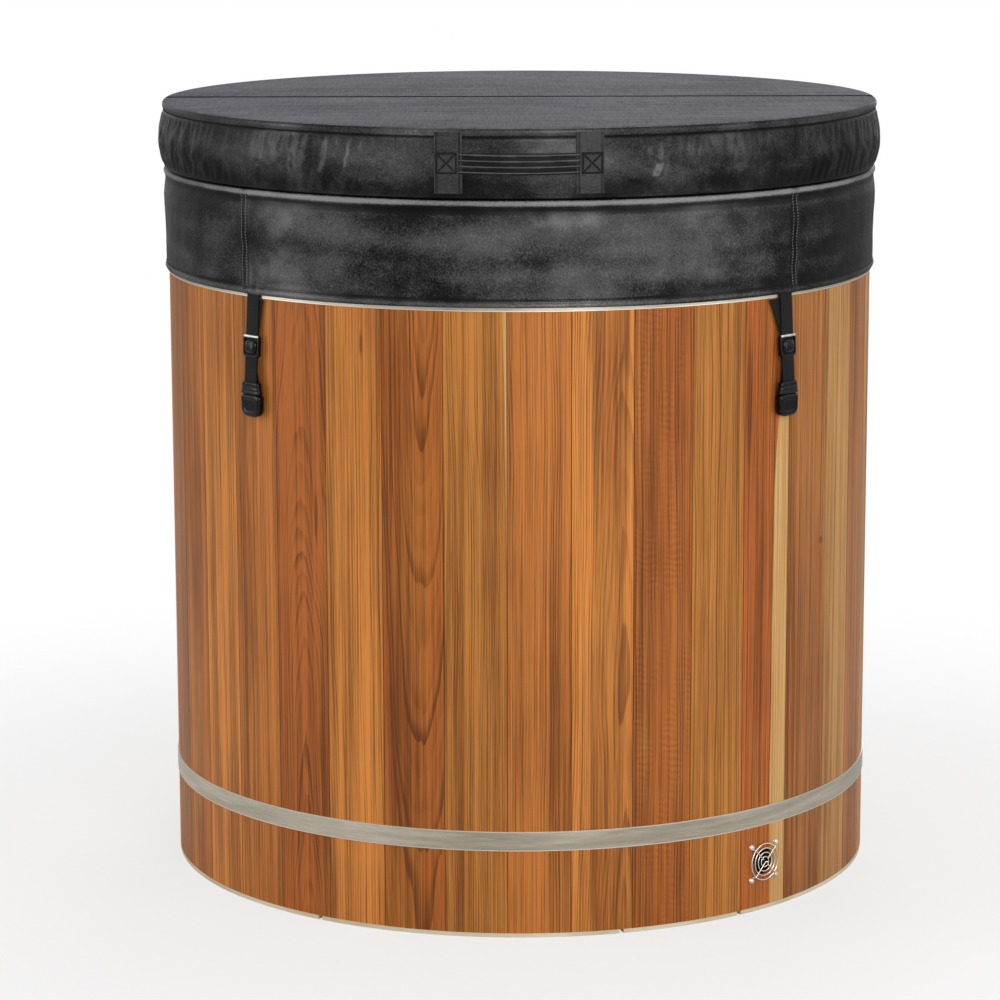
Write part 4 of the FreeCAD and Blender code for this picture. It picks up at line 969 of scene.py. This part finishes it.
box_inner, box_outer = patch_start + 0.0090 / cover_radius, patch_end - 0.0030 / cover_radius
box_low, box_high = handle_low + 0.001, handle_high - 0.001
edge_line = 0.0158 / cover_radius
patch_finish, shader, place = new_finish("patch_vinyl", {"Specular IOR Level": 0.22})
grain = vinyl_grain(place, 0.0022)
worn = place.noise((24, 24, 60), detail=4, rough=0.6)
speck = place.noise(640, detail=2, rough=0.8)
x, y, z = place.parts()
beside = abs(place.math("ARCTAN2", x, abs(y)))
across_box = abs(beside - (box_inner + box_outer) / 2) / ((box_outer - box_inner) / 2)
up_box = abs(z - (box_low + box_high) / 2) / ((box_high - box_low) / 2)
from_middle = place.math("MAXIMUM", across_box, up_box)
# Painted shade along the stitched box and its cross, where the stitches pull the vinyl in; the same lines are
# sunk in the bump.
border = 1 - abs(from_middle - 1.0).step(0.04, 0.14)
diagonal = (1 - abs(across_box - up_box).step(0.05, 0.17)) * (1 - from_middle.step(0.98, 1.02))
stitch_groove_shade = place.math("MAXIMUM", border, diagonal)
# Painted shade: a dark line near each of the patch's two side edges.
from_edge_line = abs(abs(beside - (patch_start + patch_end) / 2) - edge_line)
patch_edge_shade = 1 - from_edge_line.step(0.0006 / cover_radius, 0.002 / cover_radius)
tone = ((worn - 0.5) * 1.4 + (speck - 0.5) * 1.0 + (grain - 0.65) * 0.8 + 0.5).step(-0.2, 1.2)
tone = tone.mix(colour("101011"), colour("444445"))
tone = place.math("MAXIMUM", stitch_groove_shade * 0.8, patch_edge_shade * 0.55).mix(tone, colour("020202"))
relief = grain * 0.3 - stitch_groove_shade
feed(shader, Base_Color=tone, Roughness=0.40 + worn * 0.12, Normal=relief.bump(0.0010, 0.9))

handle_steps = 97
handle_root = cover_radius + patch_thickness
patch_root = cover_radius - patch_sunk
patch_face = handle_root + patch_sunk
# The folded edge nearest the handle, and two rows of stitches, by their distances from
# the patch's start.
fold_inset, fold_radius = 0.0014, 0.0015
row_insets = (0.0050, 0.0375)
box_route = (
    (box_inner, box_low), (box_outer, box_low), (box_outer, box_high), (box_inner, box_high),
    (box_inner, box_low), (box_outer, box_high), (box_outer, box_low), (box_inner, box_high),
)
handle_end = free_angle + tuck_angle
cord_azimuth = np.linspace(-free_angle * 1.01, free_angle * 1.01, handle_steps)
cord_reach = handle_root + handle_thickness + handle_rise(cord_azimuth)
bands = [
    band_on_cover(-handle_end, handle_end, handle_low, handle_high, handle_root, handle_thickness,
                  handle_steps, handle_rise)
]
for height in np.linspace(handle_low + cord_inset, handle_high - cord_inset, cord_count):
    cord_path = about_axis(cord_reach, cord_azimuth, height)
    bands.append(rod(cord_path, cord_radius, upright=(0.0, 0.0, 1.0), sides=10))
patches, sewn = [], []
for side in (-1, 1):
    start, end = sorted((side * patch_start, side * patch_end))
    patches.append(
        band_on_cover(start, end, patch_low, patch_high, patch_root, patch_thickness + 2 * patch_sunk, 25)
    )
    fold = side * (patch_start + fold_inset / cover_radius)
    fold_line = np.linspace(patch_low + 0.001, patch_high - 0.001, 30)
    patches.append(rod(about_axis(patch_face, fold, fold_line), fold_radius))
    heights = np.arange(patch_low + 0.003, patch_high - 0.002, stitch_step)
    for inset in row_insets:
        sewn += stitch_row(side * (patch_start + inset / cover_radius), heights, patch_face)
    for (a0, z0), (a1, z1) in zip(box_route, box_route[1:]):
        run = math.hypot((a1 - a0) * cover_radius, z1 - z0)
        share = np.linspace(0.04, 0.96, max(3, round(run / stitch_step)))
        sewn += stitch_row(side * (a0 + (a1 - a0) * share), z0 + (z1 - z0) * share, patch_face)
for half, body, facing in halves:
    add_piece(
        half + "_handle_strap", bands, webbing_finish, body, [half + "_handle"], facing
    )
    add_piece(
        half + "_patches", patches, patch_finish, body, [half + "_handle_patches"], facing
    )
    add_piece(half + "_handle_stitching", sewn, dark_thread, body, azimuth=facing)

# ---- Straps and buckles ---------------------------------------------------------
# Four straps of black webbing are sewn inside the skirt.  Each passes through a ladder
# slider, round the bar of a side-release buckle, and back up behind itself.

strap_width = 0.025
strap_thickness = 0.0014
buckle_radius = 0.5426
plug_bar = 0.779
loop_radius = 0.0029
leg_spacing = 0.0017
tail_free_height = 0.845
leg_top = np.array([cover_radius - 0.00082, hem_height - 0.002])
leg_bottom = np.array([buckle_radius + loop_radius, plug_bar])
leg_up = (leg_top - leg_bottom) / np.linalg.norm(leg_top - leg_bottom)
leg_in = np.array([-leg_up[1], leg_up[0]])

strap_finish, shader, place = new_finish("strap_webbing", {"Specular IOR Level": 0.16}, place="UV")
u, v = place.parts()[:2]
warp = ((u * 2600).sine() * 0.5 + 0.5) * 0.6
twill = ((u + v) * 3100).sine() * 0.5 + 0.5
fuzz = place.noise((900, 900, 1), detail=3)
weave = warp + twill * 0.4
feed(
    shader,
    Base_Color=(weave * 0.6 + fuzz * 0.4).step(0.3, 0.9).mix(colour("040405"), colour("1c1d1f")),
    Roughness=0.5 + fuzz * 0.25,
    Normal=weave.bump(0.0003),
)


def leg_point(height, inwards):
    """(radius, height) on the strap's straight leg, moved inwards."""
    share = (height - leg_bottom[1]) / leg_up[1]
    return leg_bottom + leg_up * share + leg_in * inwards


def strap_grid(tail_aside):
    """The strap as an edge-rounded section carried along its path in the upright plane
    through the tub's axis.  The free tail leans aside by tail_aside metres at its end."""
    bend = np.linspace(0, math.pi, 13)
    loop = np.stack(
        [buckle_radius + loop_radius * np.cos(bend), plug_bar - loop_radius * np.sin(bend)], axis=1
    )
    down = np.linspace(leg_top, leg_bottom, 30)[:-1]
    tail_foot = leg_point(plug_bar + 0.021, leg_spacing)
    tail_end = leg_point(hem_height - 0.010, leg_spacing + 0.0002)
    up = np.concatenate([np.linspace(loop[-1], tail_foot, 6)[1:], np.linspace(tail_foot, tail_end, 26)[1:]])
    sewn = np.array(
        [[skirt_radius - 0.0007, hem_height + 0.010], [skirt_radius - 0.0006, hem_height + 0.003]]
    )
    path = np.concatenate([sewn, down, loop, up])
    above_slider = np.clip((path[:, 1] - tail_free_height) / 0.06, 0, None)
    is_tail = np.arange(len(path)) >= len(sewn) + len(down) + len(loop)
    aside = np.where(is_tail, tail_aside * above_slider ** 1.2, 0.0)
    ahead = np.gradient(path, axis=0)
    ahead /= np.linalg.norm(ahead, axis=1, keepdims=True)
    out = np.stack([ahead[:, 1], -ahead[:, 0]], axis=1)
    section = rounded(strap_width, strap_thickness, strap_thickness * 0.45, steps=4)
    pressed = np.ones(len(path))
    pressed[:2] = 0.4
    depth = pressed[:, None] * section[None, :, 1]
    radius = path[:, None, 0] + out[:, None, 0] * depth
    height = path[:, None, 1] + out[:, None, 1] * depth
    across = section[None, :, 0] + aside[:, None]
    run = np.concatenate([[0], np.cumsum(np.linalg.norm(np.diff(path, axis=0), axis=1))])
    cloth_place = np.stack(np.broadcast_arrays(section[None, :, 0], run[:, None]), axis=-1)
    return np.stack([across, -radius, height], axis=-1), cloth_place


buckles = (("front_left", -45.0, "front_half", 0.008), ("front_right", 45.0, "front_half", -0.022),
           ("rear_right", 135.0, "cover", 0.016), ("rear_left", 225.0, "cover", -0.018))
for name, degrees, body, tail_aside in buckles:
    grid, cloth_place = strap_grid(tail_aside)
    strap = add_piece(
        name + "_strap_web", [grid], strap_finish, body, [name + "_strap"],
        math.radians(degrees)
    )
    weave_map = strap.data.uv_layers.new(name="UVMap")
    corner_vertex = np.empty(len(strap.data.loops), np.int32)
    strap.data.loops.foreach_get("vertex_index", corner_vertex)
    weave_map.data.foreach_set("uv", cloth_place.reshape(-1, 2)[corner_vertex].astype(np.float32).ravel())

plastic_finish, shader, place = new_finish("buckle_black_plastic", {"Specular IOR Level": 0.24})
texture = place.noise(1300, detail=2)
scuff = place.noise(120, detail=4, rough=0.7)
feed(
    shader,
    Base_Color=scuff.step(0.5, 0.8).mix(colour("030304"), colour("161719")),
    Roughness=0.10 + scuff * 0.18,
    Normal=texture.bump(0.00004),
)
slider_height = hem_height - 0.078
slider_half_width, slider_half_length, slider_half_depth = 0.0149, 0.0143, 0.0033
rail_half = 0.0017
catch_width, catch_length, catch_depth = 0.042, 0.0325, 0.0116
catch_gap = 0.0005
catch_top = plug_bar - 0.0133 - catch_gap
bar_radius = 0.0021
bar_out = 0.0022


def squared(wave, power):
    """A sine or cosine raised to a low power with its sign kept, which turns a round
    outline into one with flatter sides."""
    return np.sign(wave) * abs(wave) ** power


def on_strap(points):
    """Carry (across, out, along) points to the slider's place on the sloping strap."""
    centre = leg_point(slider_height, leg_spacing / 2)
    radius = centre[0] - points[..., 1] * leg_in[0] + points[..., 2] * leg_up[0]
    height = centre[1] - points[..., 1] * leg_in[1] + points[..., 2] * leg_up[1]
    return np.stack([points[..., 0], -radius, height], axis=-1)


def slider_frame():
    """A rounded frame, its section a squared-off oval, carried round a rounded rectangle."""
    line = rounded(2 * slider_half_width, 2 * slider_half_length, 0.004, steps=7)
    ahead = np.roll(line, -1, axis=0) - np.roll(line, 1, axis=0)
    ahead /= np.linalg.norm(ahead, axis=1, keepdims=True)
    outward = np.stack([ahead[:, 1], -ahead[:, 0]], axis=1)
    turn = np.linspace(0, 2 * math.pi, 16, endpoint=False)
    wide = rail_half * squared(np.cos(turn), 0.6)
    deep = slider_half_depth * squared(np.sin(turn), 0.6)
    flat = line[:, None] + wide[None, :, None] * outward[:, None]
    ring = np.stack([flat[..., 0], deep[None, :] + 0 * flat[..., 0], flat[..., 1]], axis=-1)
    return on_strap(np.concatenate([ring, ring[:1]]))


def folded_webbing():
    """The webbing's turn over the middle bar: a flattened cushion, from latitude rings
    whose sine and cosine are raised to low powers."""
    latitude = np.linspace(-math.pi / 2, math.pi / 2, 19)[1:-1, None]
    turn = np.linspace(0, 2 * math.pi, 36, endpoint=False)[None, :]
    ring = np.cos(latitude) ** 0.55
    across = 0.0119 * ring * squared(np.cos(turn), 0.5)
    along = 0.0098 * ring * squared(np.sin(turn), 0.8) - 0.001
    out = 0.0052 * squared(np.sin(latitude), 0.9) + 0.0012
    return on_strap(np.stack(np.broadcast_arrays(across, out, along), axis=-1))


def catch_body():
    """The buckle's body: a tongue-shaped outline, square above and round below, drawn in
    towards its front and back faces like a pebble."""
    turn = np.linspace(0, 2 * math.pi, 72, endpoint=False)
    power = np.where(np.sin(turn) > 0, 0.34, 0.62)
    across = catch_width / 2 * squared(np.cos(turn), power)
    along = catch_length / 2 * squared(np.sin(turn), power)
    across = across * (1 - 0.10 * (0.5 - along / catch_length))
    waist = 1 - 0.04 * np.exp(-((along - 0.003) / 0.006) ** 2)
    rows = []
    # Each row's share of the depth, out from the middle, and how far it is drawn in.
    for out, inset in ((-0.5, 0.0045), (-0.49, 0.0012), (-0.40, 0.0), (0.22, 0.0), (0.36, 0.0006),
                       (0.45, 0.0018), (0.49, 0.0036), (0.50, 0.0060), (0.47, 0.0072), (0.47, 0.0105)):
        x = across * waist * (1 - inset / (catch_width / 2))
        z = along * (1 - inset / (catch_length / 2)) + catch_top - catch_length / 2
        rows.append(np.stack([x, np.full_like(x, -buckle_radius - out * catch_depth), z], axis=1))
    return np.array(rows)


def plug_body():
    """The buckle's upper half: a rounded block over the bar, stepped in at its top."""
    turn = np.linspace(0, 2 * math.pi, 48, endpoint=False)
    wide, deep = squared(np.cos(turn), 0.35), squared(np.sin(turn), 0.5)
    # Each row's rise above the block's foot, half width and half depth.
    steps = (
        (0.0, 0.0196, 0.0046), (0.0006, 0.0202, 0.0052), (0.0036, 0.0202, 0.0053), (0.0044, 0.0190, 0.0044),
        (0.0052, 0.0188, 0.0049), (0.0088, 0.0184, 0.0054), (0.0096, 0.0178, 0.0046), (0.0104, 0.0178, 0.0049),
        (0.0150, 0.0172, 0.0054), (0.0166, 0.0166, 0.0050), (0.0172, 0.0156, 0.0040),
    )
    rows = []
    for rise, half_width, half_depth in steps:
        z = np.full_like(turn, catch_top + catch_gap + rise)
        rows.append(np.stack([half_width * wide, -buckle_radius - 0.0006 - half_depth * deep, z], axis=1))
    return np.array(rows)


across_slider = np.linspace(-slider_half_width, slider_half_width, 12)
bar_line = np.stack(np.broadcast_arrays(across_slider, bar_out, slider_half_length - 0.0004), axis=1)
bar = rod(on_strap(bar_line), bar_radius, upright=(0.0, 0.0, 1.0))
for name, degrees, body, tail_aside in buckles:
    facing = math.radians(degrees)
    slider, catch = name + "_slider", name + "_catch"
    add_piece(
        name + "_plug_body", [plug_body()], plastic_finish, body, [name + "_plug"], facing
    )
    add_piece(
        slider + "_body", [folded_webbing()], plastic_finish, slider, [slider], facing,
        rings=[slider_frame()]
    )
    add_piece(slider + "_bar", [bar], fastener_finish, slider, azimuth=facing)
    add_piece(catch + "_body", [catch_body()], plastic_finish, catch, [catch], facing)
dress(plastic_finish, "front_prongs", "rear_prongs")

# ---- Studio ---------------------------------------------------------------------
# A pale floor, white all round, broad soft lamps, and a long lens a little above the
# cover, far enough off that the sides stay nearly upright.

floor_mesh = bpy.data.meshes.new("studio_floor")
floor_reach = 14.0
below_base = 0.0005
floor_corners = [(a * floor_reach, b * floor_reach, 0) for a, b in ((-1, -1), (1, -1), (1, 1), (-1, 1))]
floor_mesh.from_pydata(floor_corners, [], [(0, 1, 2, 3)])
floor = bpy.data.objects.new("studio_floor", floor_mesh)
floor.location.z = -below_base
bpy.context.scene.collection.objects.link(floor)
floor_finish, shader, place = new_finish("studio_floor", {"Roughness": 0.7, "Specular IOR Level": 0.1})
shader.inputs["Base Color"].default_value = (0.9, 0.9, 0.9, 1)
x, y, z = place.parts()
far = ((x * x + y * y) ** 0.5).step(0.8, 1.9)
seen = place.node("LightPath", output="Is Camera Ray")
glow = place.node("Emission", {"Color": (1, 1, 1, 1), "Strength": 1.0})
whole = place.node("MixShader", {0: (far * 0.35 + 0.65) * seen, 1: Shade(shader.outputs[0]), 2: glow})
feed(floor_finish.node_tree.nodes["Material Output"], Surface=whole)
floor_mesh.materials.append(floor_finish)

world = bpy.data.worlds.new("studio")
bpy.context.scene.world = world
world.use_nodes = True
backdrop = world.node_tree.nodes["Background"]
backdrop.inputs["Color"].default_value = (1, 1, 1, 1)
path = Shade(world.node_tree.nodes.new("ShaderNodeLightPath").outputs["Is Camera Ray"])
glossy = Shade(path.socket.node.outputs["Is Glossy Ray"])
through = Shade(path.socket.node.outputs["Is Transmission Ray"])
level = path.math("MAXIMUM", path.math("MAXIMUM", path, glossy), through)
ambient = 0.36
world.node_tree.links.new((level * (1 - ambient) + ambient).socket, backdrop.inputs["Strength"])


def softbox(name, place, aim, size, power):
    """A rectangular area lamp that faces a point."""
    lamp = bpy.data.lights.new(name, "AREA")
    lamp.shape = "RECTANGLE"
    lamp.size, lamp.size_y = size
    lamp.energy = power
    holder = bpy.data.objects.new(name, lamp)
    gaze = np.array(aim) - np.array(place)
    flat = math.hypot(gaze[0], gaze[1])
    holder.rotation_euler = (math.atan2(flat, -gaze[2]), 0.0, math.atan2(-gaze[0], gaze[1]))
    holder.location = place
    bpy.context.scene.collection.objects.link(holder)


tub_middle = (0.0, 0.0, 0.55)
softbox("front_lamp", (0.75, -3.4, 1.7), tub_middle, (1.5, 1.7), 40)
softbox("left_lamp", (-3.3, -0.9, 1.5), tub_middle, (1.2, 2.2), 27)
softbox("right_lamp", (3.0, -1.9, 1.4), tub_middle, (1.2, 2.2), 22)
softbox("rear_lamp", (0.6, 3.2, 2.0), tub_middle, (1.8, 1.8), 30)
softbox("top_lamp", (0.0, 0.3, 3.6), tub_middle, (2.0, 2.0), 22)

focal_pixels = 3650.45
camera_distance = 5.55413
camera_height = 1.60612
pitch, yaw, roll = 0.190316, -0.005503, -0.002505
frame_pixels = 1000
sensor = 36.0
camera_data = bpy.data.cameras.new("camera")
camera_data.sensor_width = sensor
camera_data.lens = focal_pixels / frame_pixels * sensor
camera_data.clip_end = 60
camera = bpy.data.objects.new("camera", camera_data)
forward = np.array([math.sin(yaw) * math.cos(pitch), math.cos(yaw) * math.cos(pitch), -math.sin(pitch)])
right = np.array([math.cos(yaw), -math.sin(yaw), 0.0])
up = np.array([math.sin(yaw) * math.sin(pitch), math.cos(yaw) * math.sin(pitch), math.cos(pitch)])
right, up = math.cos(roll) * right + math.sin(roll) * up, math.cos(roll) * up - math.sin(roll) * right
axes = Matrix((right, up, -forward)).transposed()
camera.matrix_world = Matrix.Translation((0.0, -camera_distance, camera_height)) @ axes.to_4x4()
bpy.context.scene.collection.objects.link(camera)
bpy.context.scene.camera = camera
bpy.context.scene.view_settings.view_transform = "Standard"
